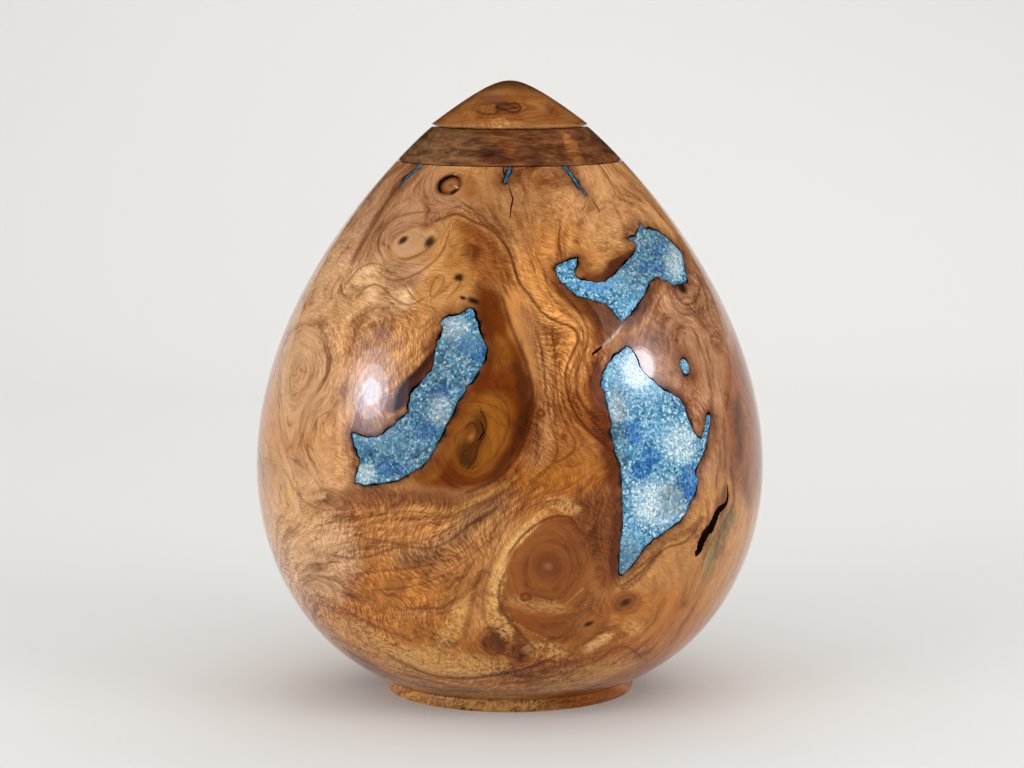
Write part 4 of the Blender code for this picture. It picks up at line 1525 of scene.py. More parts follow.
def finish_tree(material):
    """The empty node tree of a finish."""
    material.use_nodes = True
    material.node_tree.nodes.clear()
    return material.node_tree


def ramp_node(tree, factor, stops):
    """A ramp through stops of position and colour, each colour with its cover."""
    made = put(tree, "ShaderNodeValToRGB", factor)
    ramp = made.color_ramp
    while len(ramp.elements) > 1:
        ramp.elements.remove(ramp.elements[-1])
    for k, (position, colour) in enumerate(stops):
        element = ramp.elements[0] if k == 0 else ramp.elements.new(position)
        element.position = position
        element.color = colour
    return made


def colour_ramp(tree, factor, stops):
    """The colour of a ramp through stops of position and linear colour."""
    full_stops = [(position, (*colour, 1)) for position, colour in stops]
    return ramp_node(tree, factor, full_stops).outputs["Color"]


def mixed(tree, factor, first, second, blend="MIX"):
    """Two colours mixed by a factor."""
    made = tree.nodes.new("ShaderNodeMix")
    made.data_type = "RGBA"
    made.blend_type = blend
    for socket, value in zip([s for s in made.inputs if s.enabled], (factor, first, second)):
        if isinstance(value, bpy.types.NodeSocket):
            tree.links.new(value, socket)
        elif isinstance(value, (int, float)):
            socket.default_value = value
        else:
            socket.default_value = (*value, 1)
    return next(s for s in made.outputs if s.enabled)


def span(tree, value, low, high, to_low=0.0, to_high=1.0):
    """A number moved from one range to another, held inside it."""
    return first_out(put(tree, "ShaderNodeMapRange", value, low, high, to_low, to_high))


def noise_3d(tree, where, pitch, detail=2.0, rough=0.5, warp=0.0):
    """Plain noise at so many cycles a metre."""
    return put(tree, "ShaderNodeTexNoise", where, pitch, detail, rough, 2.0, warp).outputs["Fac"]


def figure(tree, where, growth, width, length, detail=2.0, rough=0.5):
    """Streaks that follow the growth lines, with a width and a length in metres."""
    drift = put(tree, "ShaderNodeVectorMath", where, operation="SCALE")
    drift.inputs["Scale"].default_value = 1 / length
    fourth = calc(tree, "MULTIPLY", growth, 1 / width)
    made = put(tree, "ShaderNodeTexNoise", drift.outputs[0], fourth, 1.0, detail, rough, 2.0, 0.0,
               noise_dimensions="4D")
    return made.outputs["Fac"]


def lacquer(tree, colour, roughness, coat_roughness, bump=None, bump_depth=0.0001):
    """A glossy clear coat over a colour, with the numbers set on the shader itself."""
    shader = tree.nodes.new("ShaderNodeBsdfPrincipled")
    tree.links.new(colour, shader.inputs["Base Color"])
    shader.inputs["Roughness"].default_value = roughness
    shader.inputs["Specular IOR Level"].default_value = body_gloss
    shader.inputs["Coat Weight"].default_value = 1.0
    shader.inputs["Coat Roughness"].default_value = coat_roughness
    shader.inputs["Coat IOR"].default_value = coat_index
    if bump is not None:
        made = tree.nodes.new("ShaderNodeBump")
        made.inputs["Strength"].default_value = 1.0
        made.inputs["Distance"].default_value = bump_depth
        tree.links.new(bump, made.inputs["Height"])
        tree.links.new(made.outputs["Normal"], shader.inputs["Normal"])
    output = tree.nodes.new("ShaderNodeOutputMaterial")
    tree.links.new(shader.outputs["BSDF"], output.inputs["Surface"])
    return shader


def read(tree, name):
    """A vertex attribute of the piece."""
    made = tree.nodes.new("ShaderNodeAttribute")
    made.attribute_name = name
    return made


def number(tree, name):
    """A number stored on the vertices of the piece."""
    return read(tree, name).outputs["Fac"]


def object_place(tree):
    """The place on the piece, in metres."""
    return tree.nodes.new("ShaderNodeTexCoord").outputs["Object"]


def times(tree, first, second):
    """Two numbers multiplied."""
    return calc(tree, "MULTIPLY", first, second)


def weighted(tree, first, *others):
    """The sum of several numbers, each times its weight."""
    total = times(tree, *first)
    for term in others:
        total = calc(tree, "ADD", total, times(tree, *term))
    return total


def swing(tree, value, strength):
    """Noise moved to swing evenly round nought, times a strength."""
    return times(tree, calc(tree, "SUBTRACT", value, 0.5), strength)


print("finish helpers ready")

# %% Draw the eyes of the burl
# Each eye: pixel, half width and half height in millimetres, lean, name of its rings
eye_marks = {
    "plug_black": ((448.7, 184.3), (5.3, 5.1), 0, "black_disc"),
    "plug_wood": ((450.6, 185.6), (4.45, 4.3), 0, "brown_disc"),
    "plug_notch": ((454.0, 192.0), (1.9, 0.9), -40, "dark_pit"),
    # The two glints are painted highlights: small pale marks laid into the colour of the plug knot.
    "plug_glint": ((455.5, 174.2), (0.9, 0.28), -30, "glint"),
    "plug_glint_low": ((456.5, 187.0), (0.9, 0.25), 30, "glint"),
    "oval": ((412.5, 242), (10.4, 6.6), -25, "pale_oval"),
    "oval_pit_left": ((403, 240), (2.2, 1.5), -40, "dark_pit"),
    "oval_pit_right": ((429.6, 241.8), (1.9, 2.5), 15, "dark_pit"),
    "oval_ring": ((426, 226), (2.8, 2.6), 0, "soft_ring"),
    "loop_eye": ((459, 277.5), (1.8, 1.6), 0, "dark_pit"),
    "tip_pit": ((474, 301), (2.4, 1.2), 20, "dark_pit"),
    "tip_pit_small": ((463, 298), (1.2, 0.7), 20, "dark_pit"),
    "olive_curl": ((471, 437), (1.0, 2.2), 35, "pale_curl"),
    "column_spot": ((541, 413), (1.7, 1.6), 0, "orange_spot"),
    "swirl_spot": ((387.5, 405), (2.6, 2.8), 0, "soft_ring"),
    "eye_core": ((548, 566), (5.6, 4.6), 10, "pink_ring"),
    "eye_small": ((555, 589), (1.5, 1.2), 0, "soft_ring"),
    "eye_orange": ((525.5, 597), (2.2, 1.9), 0, "orange_spot"),
    "knot": ((625.5, 602.5), (3.4, 2.1), -22, "dark_pit"),
    "knot_ring": ((625.5, 602.5), (5.4, 4.0), -20, "red_ring"),
    "small_knot": ((588.5, 624), (2.0, 1.1), -28, "dark_pit"),
    "olive_spot": ((682, 288), (3.0, 2.4), 30, "dark_pit"),
    "spot_high": ((671, 373), (1.6, 1.5), 0, "soft_ring"),
    "right_swirl": ((684, 604), (3.0, 2.6), 0, "soft_ring"),
    "stone_dot": ((632, 563), (1.2, 1.0), 0, "soft_ring"),
}
lid_marks = {
    "curl_pit": ((497, 109), (1.1, 1.6), 20, "soft_ring"),
    "patch": ((495, 98), (6.5, 3.2), 8, "purple_cloud"),
    "swirl": ((516, 97), (7.0, 2.6), 0, "red_cloud"),
    "white_curl": ((500, 123), (3.0, 1.4), -20, "pale_curl"),
    "centre": ((507, 107), (4.6, 1.7), 3, "dark_cloud"),
    "low_right": ((552, 118), (4.0, 2.0), 0, "red_cloud"),
    "high": ((500, 92), (6.0, 2.4), -10, "pale_cloud"),
    "right": ((538, 104), (4.0, 3.0), 30, "pale_cloud"),
}
# Rings from the middle out: share of the radius, colour, and how much of it covers the wood
eye_rings = {
    "purple_cloud": [(0.0, "purple brown", 0.85), (0.6, "purple brown", 0.6), (1.4, "brown", 0.0)],
    "red_cloud": [(0.0, "copper", 0.6), (0.6, "copper", 0.5), (1.4, "copper", 0.0)],
    "pale_cloud": [(0.0, "warm tan", 0.35), (0.6, "warm tan", 0.25), (1.4, "warm tan", 0.0)],
    # glint: a painted highlight, a pale spot laid into the wood's colour
    "glint": [(0.0, "ice", 0.7), (0.6, "ice", 0.5), (1.2, "ice", 0.0)],
    "dark_cloud": [(0.0, "purple brown", 0.7), (0.6, "dark brown", 0.7), (0.95, "bark black", 0.7), (1.15,
        "brown", 0.0)],
    "black_disc": [(0.0, "bark black", 1.0), (0.86, "bark black", 1.0), (1.0, "dark brown", 0.7), (1.25,
        "red brown", 0.0)],
    "brown_disc": [(0.0, "copper", 1.0), (0.4, "mid brown", 0.9), (0.7, "copper", 1.0), (0.85, "brown",
        0.9), (1.0, "brown", 0.0)],
    "pale_oval": [(0.0, "rose tan", 0.5), (0.6, "pale tan", 0.5), (0.84, "pale tan", 0.6), (0.95, "gold",
        0.6), (1.05, "mid brown", 0.5), (1.35, "mid brown", 0.0)],
    "dark_pit": [(0.0, "bark black", 0.95), (0.6, "bark black", 0.9), (1.0, "dark brown", 0.6), (1.5,
        "brown", 0.0)],
    "soft_ring": [(0.0, "dark brown", 0.6), (0.5, "brown", 0.5), (1.4, "brown", 0.0)],
    "pale_curl": [(0.0, "warm tan", 0.5), (0.7, "honey", 0.4), (1.2, "honey", 0.0)],
    "orange_spot": [(0.0, "amber", 0.95), (0.7, "orange", 0.9), (1.0, "dark brown", 0.6), (1.3, "brown",
        0.0)],
    "pink_ring": [(0.0, "pink brown", 0.35), (0.5, "red brown", 0.35), (1.0, "red brown", 0.3), (1.7,
        "brown", 0.0)],
    "red_ring": [(0.0, "dark brown", 0.2), (0.6, "amber", 0.5), (0.85, "brown", 0.7), (1.0, "amber", 0.5),
        (1.3, "brown", 0.0)],
}
print("eyes:", len(eye_marks))

# %% Finish the burl
band_tint = [(0.0, (0.24, 0.15, 0.09)), (0.28, (0.56, 0.46, 0.37)), (0.46, (0.92, 0.89, 0.85)), (0.60,
    (1.08, 1.09, 1.10)), (1.0, (1.42, 1.50, 1.62))]
ripple_tint = [(0.0, (0.64, 0.53, 0.43)), (0.4, (0.88, 0.84, 0.79)), (0.6, (1.07, 1.08, 1.10)), (1.0,
    (1.55, 1.66, 1.78))]
# The flecks' colour is a painted sheen: bright gold that stands in for the wood's shimmer
fleck_sheen_colour = (226, 176, 108)
lid_lowest_pixel = 130
# Each streak that follows the grain: width and length in metres, detail, roughness
streaks = {
    "broad": (0.0040, 0.030, 2.0, 0.55), "middle": (0.0012, 0.012, 3.0, 0.6),
    "fine": (0.0004, 0.0040, 2.0, 0.6), "ridge": (0.0019, 0.020, 1.0, 0.5),
    "ripple": (0.00062, 0.0034, 1.0, 0.5), "ripple_fine": (0.00036, 0.0016, 1.0, 0.5),
}
# Each plain noise: cycles a metre, detail, roughness
noises = {
    "warp": (110.0, 3.0, 0.6), "blotch": (70.0, 4.0, 0.6), "patchy": (45.0, 2.0, 0.5),
    "grains": (480.0, 2.0, 0.6), "line": (700.0, 2.0, 0.6), "edge": (260.0, 3.0, 0.6),
    "eye": (420.0, 3.0, 0.65),
}
# How much of each pattern goes into the bands, the ripples and the flecks of painted sheen
band_shares = {"broad": 0.36, "middle": 0.34, "fine": 0.16, "blotch": 0.14}
ripple_shares = {"ripple": 0.65, "ripple_fine": 0.35}
fleck_sheen_shares = {"grains": 0.35, "ripple_fine": 0.45, "middle": 0.2}
# Each fade: where it begins and ends, and what it gives at either end
fades = {
    "band": (0.33, 0.67), "patchy": (0.35, 0.62), "ridge": (0.004, 0.026, 0.55, 0.0),
    "ridge_band": (0.62, 0.4), "fleck_sheen": (0.44, 0.55), "line": (0.4, 2.2, 1.0, 0.0),
    "burnt": (0.0, 6.0, 0.75, 0.0), "gap": (-0.6, 0.9, 0.95, 0.0),
}
growth_warp = 0.0035
reach_warp = 0.002
slant = 0.9
calm_share = 0.4
calm_level = 0.52
ripple_contrast = 3.8
lively_contrast = 2.6
ripple_least = 0.30
ripple_patchy = 0.5
ripple_lively = 0.35
fleck_sheen_strength = 0.85
line_shake = 1.1
line_shade = 0.7
edge_shake = 5.0
burnt_shade = 0.9
eye_shake = 0.9
eye_wander = 0.9


def seen_on(piece, pixel):
    """The place and the slope of a piece where the eye sees it at a pixel."""
    _, spot, normal, _ = piece.ray_cast(eye_place, sight_line(pixel))
    return spot, (normal if piece is lid else Vector(skin_normal([spot])[0]))


def eye_over(tree, colour, where, rough, mark):
    """Lay one eye over the colour: an oval of rings in the plane that touches its place."""
    pixel, half_sizes, lean, rings_name = mark
    spot, normal = seen_on(lid if pixel[1] < lid_lowest_pixel else vessel, pixel)
    side = Vector((0, 0, 1)).cross(normal).normalized()
    rise = normal.cross(side)
    turn = math.radians(-lean)
    across = (side * math.cos(turn) + rise * math.sin(turn)) / (half_sizes[0] / 1000)
    up = (rise * math.cos(turn) - side * math.sin(turn)) / (half_sizes[1] / 1000)
    away = put(tree, "ShaderNodeVectorMath", where, tuple(spot), operation="SUBTRACT").outputs[0]
    u = put(tree, "ShaderNodeVectorMath", away, tuple(across), operation="DOT_PRODUCT").outputs["Value"]
    v = put(tree, "ShaderNodeVectorMath", away, tuple(up), operation="DOT_PRODUCT").outputs["Value"]
    reach = calc(tree, "SQRT", weighted(tree, (u, u), (v, v)))
    reach = calc(tree, "ADD", reach, times(tree, rough, eye_wander / min(half_sizes)))
    last = eye_rings[rings_name][-1][0]
    stops = [(share / last, (*wood_light[name], cover)) for share, name, cover in eye_rings[rings_name]]
    made = ramp_node(tree, calc(tree, "DIVIDE", reach, last), stops)
    return mixed(tree, made.outputs["Alpha"], colour, made.outputs["Color"])


def shared(tree, patterns, shares):
    """The sum of named patterns, each times its share."""
    return weighted(tree, *((patterns[name], share) for name, share in shares.items()))


def banded(tree, patterns, colour):
    """Growth bands laid over the painted tone, calmer where the wood is smooth."""
    calm = times(tree, number(tree, "smooth"), calm_share)
    level = shared(tree, patterns, band_shares)
    level = weighted(tree, (level, calc(tree, "SUBTRACT", 1.0, calm)), (calm, calm_level))
    tint = colour_ramp(tree, span(tree, level, *fades["band"]), band_tint)
    return mixed(tree, 1.0, colour, tint, "MULTIPLY")


def rippled(tree, patterns, colour):
    """Ripples across the grain, in patches, and stronger where the wood is lively."""
    lively = number(tree, "lively")
    contrast = calc(tree, "ADD", ripple_contrast, times(tree, lively, lively_contrast))
    ripple = calc(tree, "ADD", swing(tree, shared(tree, patterns, ripple_shares), contrast), 0.5)
    patchy = span(tree, patterns["patchy"], *fades["patchy"])
    cover = weighted(tree, (patchy, ripple_patchy), (lively, ripple_lively))
    cover = calc(tree, "ADD", cover, ripple_least)
    cover = times(tree, calc(tree, "SUBTRACT", 1.0, number(tree, "smooth")), cover)
    darker = mixed(tree, 1.0, colour, colour_ramp(tree, ripple, ripple_tint), "MULTIPLY")
    return mixed(tree, cover, colour, darker)


def lined(tree, patterns, colour):
    """Fine ridges, gold flecks with a painted sheen, growth lines, and the burnt edge of every opening.
    """
    red = wood_light["red brown"]
    ridge = calc(tree, "ABSOLUTE", calc(tree, "SUBTRACT", patterns["ridge"], 0.5))
    ridge_band = span(tree, patterns["broad"], *fades["ridge_band"])
    ridge_cover = times(tree, span(tree, ridge, *fades["ridge"]), ridge_band)
    colour = mixed(tree, ridge_cover, colour, red)
    # Painted sheen: gold flecks brightened in the colour, standing in for the fibres' shimmer
    sheen_flecks = span(tree, shared(tree, patterns, fleck_sheen_shares), *fades["fleck_sheen"])
    sheen_fleck_cover = times(tree, times(tree, sheen_flecks, number(tree, "fleck_sheen")), fleck_sheen_strength)
    colour = mixed(tree, sheen_fleck_cover, colour, linear(fleck_sheen_colour))
    shaky = calc(tree, "ADD", number(tree, "line_gap"), swing(tree, patterns["line"], line_shake))
    line = span(tree, calc(tree, "ABSOLUTE", shaky), *fades["line"])
    colour = mixed(tree, times(tree, line, number(tree, "line_strength")), colour, red * line_shade)
    edge = calc(tree, "ADD", number(tree, "edge_gap"), swing(tree, patterns["edge"], edge_shake))
    colour = mixed(tree, span(tree, edge, *fades["burnt"]), colour, red * burnt_shade)
    return mixed(tree, span(tree, edge, *fades["gap"]), colour, wood_light["bark black"])


def burl_finish(material, marks):
    """Painted tone, growth bands, ripples across them, flecks with a painted sheen, and eyes, some with
    painted glints, under clear lacquer.
    """
    tree = finish_tree(material)
    where = object_place(tree)
    patterns = {name: noise_3d(tree, where, *sizes) for name, sizes in noises.items()}
    warp = calc(tree, "SUBTRACT", patterns["warp"], 0.5)
    growth = calc(tree, "ADD", number(tree, "growth"), times(tree, warp, growth_warp))
    reach = calc(tree, "ADD", number(tree, "reach"), times(tree, warp, reach_warp))
    slanting = calc(tree, "ADD", reach, times(tree, growth, slant))
    for name, sizes in streaks.items():
        grain = slanting if name.startswith("ripple") else growth
        patterns[name] = figure(tree, where, grain, *sizes)
    colour = banded(tree, patterns, read(tree, "tone").outputs["Color"])
    colour = lined(tree, patterns, rippled(tree, patterns, colour))
    rough = swing(tree, patterns["eye"], eye_shake)
    for mark in marks.values():
        colour = eye_over(tree, colour, where, rough, mark)
    lacquer(tree, colour, roughness=0.36, coat_roughness=0.045, bump=patterns["fine"], bump_depth=0.00003)


burl_finish(burl, eye_marks)
burl_finish(lid_burl, lid_marks)


def plain_finish(material, dark, light, pitch, roughness):
    """A dull two tone finish for places that only peep out."""
    tree = finish_tree(material)
    mottle = noise_3d(tree, object_place(tree), pitch, 3.0, 0.6)
    colour = mixed(tree, span(tree, mottle, 0.35, 0.65), linear(dark), linear(light))
    shader = lacquer(tree, colour, roughness, 0.3, mottle, 0.0002)
    shader.inputs["Coat Weight"].default_value = 0.0


plain_finish(bark, (10, 6, 4), (46, 26, 14), 500.0, 0.7)
plain_finish(raw_wood, (150, 105, 66), (188, 142, 96), 120.0, 0.6)
print("burl finished")

# %% Finish the walnut
walnut_base = (104, 62, 34)
walnut_tint = [(0.0, (0.42, 0.36, 0.32)), (0.4, (0.84, 0.81, 0.78)), (0.6, (1.12, 1.13, 1.14)), (1.0,
    (1.7, 1.75, 1.8))]
# Each dab: centre, half width and half height, lean, colour, strength, softness
collar_dabs = {
    "left": ((440, 148), (42, 22), 0, (110, 76, 48), 0.9, 0.8),
    "left_mid": ((478, 146), (18, 12), 0, (100, 66, 38), 0.7, 0.8),
    "dark_left": ((492, 156), (16, 8), 20, (72, 40, 22), 0.8, 0.8),
    "streak_left": ((509, 150), (20, 4.5), 46, (112, 63, 26), 0.9, 0.7),
    "dark_middle": ((530, 156), (16, 9), 30, (78, 42, 22), 0.7, 0.8),
    "streak_right": ((574, 151), (21, 5.5), 62, (150, 92, 44), 0.8, 0.7),
    "dark_right": ((596, 146), (14, 18), 40, (96, 56, 32), 0.7, 0.8),
}


def walnut_finish():
    """Dark wood with short pores, cut so that the grain crosses the ring."""
    tree = finish_tree(walnut)
    where = object_place(tree)
    turn = put(tree, "ShaderNodeMapping", where)
    turn.inputs["Rotation"].default_value = (0.0, -0.5, 0.0)
    turn.inputs["Scale"].default_value = (0.2, 0.3, 1.0)
    streak = noise_3d(tree, turn.outputs[0], 420.0, 4.0, 0.6, 0.3)
    pores = noise_3d(tree, turn.outputs[0], 1300.0, 2.0, 0.5)
    level = weighted(tree, (streak, 0.65), (pores, 0.35))
    figure_tint = colour_ramp(tree, span(tree, level, 0.36, 0.64), walnut_tint)
    colour = mixed(tree, 1.0, read(tree, "tone").outputs["Color"], figure_tint, "MULTIPLY")
    lacquer(tree, colour, 0.4, 0.05)


collar_points = vertex_array(collar.data)
collar_places = fold_back(collar_points)
collar_tone = np.tile(linear(walnut_base), (len(collar_points), 1))
for centre, radii, lean, colour, strength, softness in collar_dabs.values():
    collar_share = dab_mask(collar_places, centre, radii, lean, softness)[:, None] * strength
    collar_tone += (linear(colour) - collar_tone) * collar_share
attribute(collar.data, "tone", collar_tone, "FLOAT_COLOR")
walnut_finish()
print("walnut finished")

# %% Paint the lid
lid_tone = (150, 93, 44)
lid_dark = (110, 68, 30)
lid_light = (184, 128, 78)
lid_ring = [(497, 112), (499, 109), (496, 108), (497, 105), (502, 103), (509, 104), (515, 103),
    (520, 106), (521, 109), (517, 112), (511, 112), (505, 110), (501, 110)]
lid_points = vertex_array(lid.data)
lid_places = fold_back(lid_points)
share_top = soft_step((104 - lid_places[:, 1]) / 22)[:, None]
share_rim = soft_step((lid_places[:, 1] - 121) / 7)[:, None]
lid_colour = np.tile(linear(lid_tone), (len(lid_points), 1))
lid_colour += (linear(lid_dark) - lid_colour) * share_top
lid_colour += (linear(lid_light) - lid_colour) * share_rim * 0.7
ring_gap, ring_side = line_distance(lid_places, curved(lid_ring))
ring_middle = (508, 108)
away_x, away_y = (lid_places - ring_middle).T
# The flecks near the rim carry a painted sheen: bright gold laid into the colour.
lid_numbers = {
    "growth": np.hypot(away_x * 0.00012, away_y * 0.0006), "reach": np.arctan2(away_y, away_x) * 0.012,
    "smooth": 0.25, "lively": 0.0, "fleck_sheen": dab_mask(lid_places, (500, 123), (9, 5), 0, 0.6) * 0.7,
    "line_gap": ring_gap * ring_side, "line_strength": 0.9, "edge_gap": 20.0,
}
for name, values in lid_numbers.items():
    attribute(lid.data, name, np.broadcast_to(values, len(lid_places)))
attribute(lid.data, "tone", lid_colour * wood_gain, "FLOAT_COLOR")
print("lid painted")

# %% [markdown]
# The stage is a pale floor that sweeps up behind, lit by a pale surround. Two lamps show in the
# lacquer: a broad soft one on the left and a small hard one on the right. Each is hung where the
# eye must see it mirrored: along the line of sight thrown back by the curve at the glint.

# %% Build the stage and hang the lamps
floor_reach = 3.0
sweep_start = 0.9
sweep_radius = 0.6
sweep_turn = math.radians(66)
sweep_rows = 16
stage_colour = (219, 219, 218)


def stage_sheet():
    """A floor that curves up behind, low enough to look over from the back."""
    line = [(-floor_reach, 0.0), (sweep_start, 0.0)]
    for k in range(1, sweep_rows + 1):
        turn = sweep_turn * k / sweep_rows
        line.append((sweep_start + sweep_radius * math.sin(turn), sweep_radius * (1 - math.cos(turn))))
    points = [(side * floor_reach, y, z) for side in (-1, 1) for y, z in line]
    faces = [(k + len(line), k + len(line) + 1, k + 1, k) for k in range(len(line) - 1)]
    mesh = bpy.data.meshes.new("stage")
    mesh.from_pydata(points, [], faces)
    for face in mesh.polygons:
        face.use_smooth = True
    paper = bpy.data.materials.new("pale_paper")
    tree = finish_tree(paper)
    shader = tree.nodes.new("ShaderNodeBsdfPrincipled")
    shader.inputs["Base Color"].default_value = (*linear(stage_colour), 1)
    shader.inputs["Roughness"].default_value = 0.9
    shader.inputs["Specular IOR Level"].default_value = 0.0
    output = tree.nodes.new("ShaderNodeOutputMaterial")
    tree.links.new(shader.outputs["BSDF"], output.inputs["Surface"])
    mesh.materials.append(paper)
    sheet = add_piece("stage", mesh)
    return sheet


stage_sheet()

world_colour = (1.0, 0.99, 0.975)
world_strength = 0.85
world = bpy.data.worlds.new("studio")
world.use_nodes = True
world.node_tree.nodes["Background"].inputs["Color"].default_value = (*world_colour, 1)
world.node_tree.nodes["Background"].inputs["Strength"].default_value = world_strength
world.cycles_visibility.glossy = False
bpy.context.scene.world = world


def mirrored(pixel):
    """The glint's place on the urn and the direction in which its lamp must hang."""
    spot = cast(pixel)
    normal = Vector(skin_normal([spot])[0])
    seen = (spot - eye_place).normalized()
    return spot, (seen - normal * 2 * seen.dot(normal)).normalized()


def hang_lamp(name, place, aim, shape, size, power, colour, mirrors=True):
    """An area lamp: either a fill that lights the scene, or a glow that only the lacquer mirrors."""
    data = bpy.data.lights.new(name, "AREA")
    data.shape = shape
    data.size = size[0]
    data.size_y = size[1]
    data.energy = power
    data.color = colour
    lamp = bpy.data.objects.new(name, data)
    lamp.location = place
    lamp.rotation_euler = (aim - place).to_track_quat("-Z", "Y").to_euler()
    lamp.visible_glossy = mirrors
    lamp.visible_diffuse = not mirrors
    bpy.context.scene.collection.objects.link(lamp)
    return lamp


# Each glow: pixel of its glint, how far off it hangs, colour, then ovals of width, height and power
glows = {
    "soft_left_": ((371, 392), 1.1, (0.5, 0.72, 1.0),
                   [(0.80, 0.64, 3.8), (0.58, 0.44, 4.8), (0.38, 0.28, 5.4), (0.20, 0.14, 2.6)]),
    "small_right_": ((639, 369), 1.2, (0.92, 0.9, 1.0),
                     [(1.20, 0.50, 2.4), (0.86, 0.38, 2.2), (0.62, 0.29, 2.4), (0.44, 0.22, 4.8),
                      (0.38, 0.18, 5.6)]),
}
oval_step = 0.004
for name, (pixel, distance, colour, ovals) in glows.items():
    spot, way = mirrored(pixel)
    for k, (width, height, power) in enumerate(ovals):
        place = spot + way * (distance + oval_step * k)
        hang_lamp(name + str(k), place, spot, "ELLIPSE", (width, height), power, colour)

# Each fill lamp: place, width and height, power
fill_lamps = {
    "fill_left": ((-1.1, -1.0, 0.6), (0.9, 0.9), 9.0),
    "fill_right": ((1.1, -0.75, 0.5), (0.7, 0.9), 7.8),
    "fill_back": ((0.3, 1.1, 0.9), (1.2, 0.8), 3.2),
}
daylight = (1.0, 0.985, 0.97)
urn_middle = Vector((0, 0, 0.11))
for name, (place, size, power) in fill_lamps.items():
    hang_lamp(name, Vector(place), urn_middle, "RECTANGLE", size, power, daylight, False)

# %% [markdown]
# The fills are crushed stone in clear resin, ground flush and polished. The larger chips are real:
# a Geometry Nodes tree scatters flat five sided chips over each polished face, keeps them off its
# edge, and gives every chip its own size, spin, tilt and tint. The dust between them is a finish.

# %% Build the chip tree
chip_seed = 11
chip_sides = 5
chip_density = 6000000.0
chip_top = 0.86
chip_height = 0.16
chip_tilt = 0.035
smallest_chip = (0.55, 0.45, 0.7)
largest_chip = (1.25, 0.95, 1.0)
chip_spacing = 0.00078
small_spacing = 0.0005
radius_share = 1.05
margin_share = 0.85


def chip_tree():
    """Scatter flat chips over the polished face of a fill."""
    tree = new_tree("stone_chips", [
        ("Spacing", "Float"), ("Chip Radius", "Float"), ("Edge Margin", "Float"), ("Seed", "Int"),
        ("Chip Finish", "Material")])
    source = tree.nodes.new("NodeGroupInput").outputs
    polished = put(tree, "GeometryNodeInputNamedAttribute", "polished", data_type="BOOLEAN").outputs[0]
    face_sheet = put(tree, "GeometryNodeSeparateGeometry", source["Geometry"], polished,
                     domain="FACE").outputs[0]
    neighbours = put(tree, "GeometryNodeInputMeshEdgeNeighbors").outputs["Face Count"]
    single = calc(tree, "COMPARE", neighbours, 1.0, 0.1)
    rim = put(tree, "GeometryNodeSeparateGeometry", face_sheet, single, domain="EDGE").outputs[0]
    points = put(tree, "GeometryNodeDistributePointsOnFaces", distribute_method="POISSON")
    tree.links.new(face_sheet, points.inputs["Mesh"])
    tree.links.new(source["Spacing"], points.inputs["Distance Min"])
    points.inputs["Density Max"].default_value = chip_density
    tree.links.new(source["Seed"], points.inputs["Seed"])
    gap = put(tree, "GeometryNodeProximity", rim, target_element="EDGES").outputs["Distance"]
    close = calc(tree, "LESS_THAN", gap, source["Edge Margin"])
    kept = put(tree, "GeometryNodeDeleteGeometry", points.outputs["Points"], close,
               domain="POINT").outputs[0]
    chip = put(tree, "GeometryNodeMeshCone", chip_sides, 1, 1, chip_top, 1.0, chip_height,
               fill_type="NGON")
    facing = put(tree, "FunctionNodeAlignRotationToVector", None, 1.0, points.outputs["Normal"], axis="Z")
    spin = put(tree, "FunctionNodeRandomValue", data_type="FLOAT_VECTOR")
    spin.inputs[0].default_value = (-chip_tilt, -chip_tilt, -math.pi)
    spin.inputs[1].default_value = (chip_tilt, chip_tilt, math.pi)
    spin.inputs["Seed"].default_value = chip_seed
    spin_rotation = put(tree, "FunctionNodeEulerToRotation", spin.outputs[0])
    turned_chip = put(tree, "FunctionNodeRotateRotation", facing.outputs[0], spin_rotation.outputs[0],
                      rotation_space="LOCAL")
    size = put(tree, "FunctionNodeRandomValue", data_type="FLOAT_VECTOR")
    size.inputs[0].default_value = smallest_chip
    size.inputs[1].default_value = largest_chip
    size.inputs["Seed"].default_value = chip_seed + 1
    scale = put(tree, "ShaderNodeVectorMath", size.outputs[0], operation="SCALE")
    tree.links.new(source["Chip Radius"], scale.inputs["Scale"])
    placed = put(tree, "GeometryNodeInstanceOnPoints", kept)
    tree.links.new(chip.outputs["Mesh"], placed.inputs["Instance"])
    tree.links.new(turned_chip.outputs[0], placed.inputs["Rotation"])
    tree.links.new(scale.outputs[0], placed.inputs["Scale"])
    tint = put(tree, "FunctionNodeRandomValue", data_type="FLOAT")
    tint.inputs["Seed"].default_value = chip_seed + 2
    named = put(tree, "GeometryNodeStoreNamedAttribute", placed.outputs[0], data_type="FLOAT",
                domain="INSTANCE")
    named.inputs["Name"].default_value = "chip_tint"
    tree.links.new(tint.outputs[1], named.inputs["Value"])
    real = put(tree, "GeometryNodeRealizeInstances", named.outputs[0])
    coated = put(tree, "GeometryNodeSetMaterial", real.outputs[0])
    tree.links.new(source["Chip Finish"], coated.inputs["Material"])
    joined = tree.nodes.new("GeometryNodeJoinGeometry")
    tree.links.new(source["Geometry"], joined.inputs[0])
    tree.links.new(coated.outputs[0], joined.inputs[0])
    put(tree, "NodeGroupOutput", joined.outputs[0])
    return tree


scatter = chip_tree()
print("chip tree built")

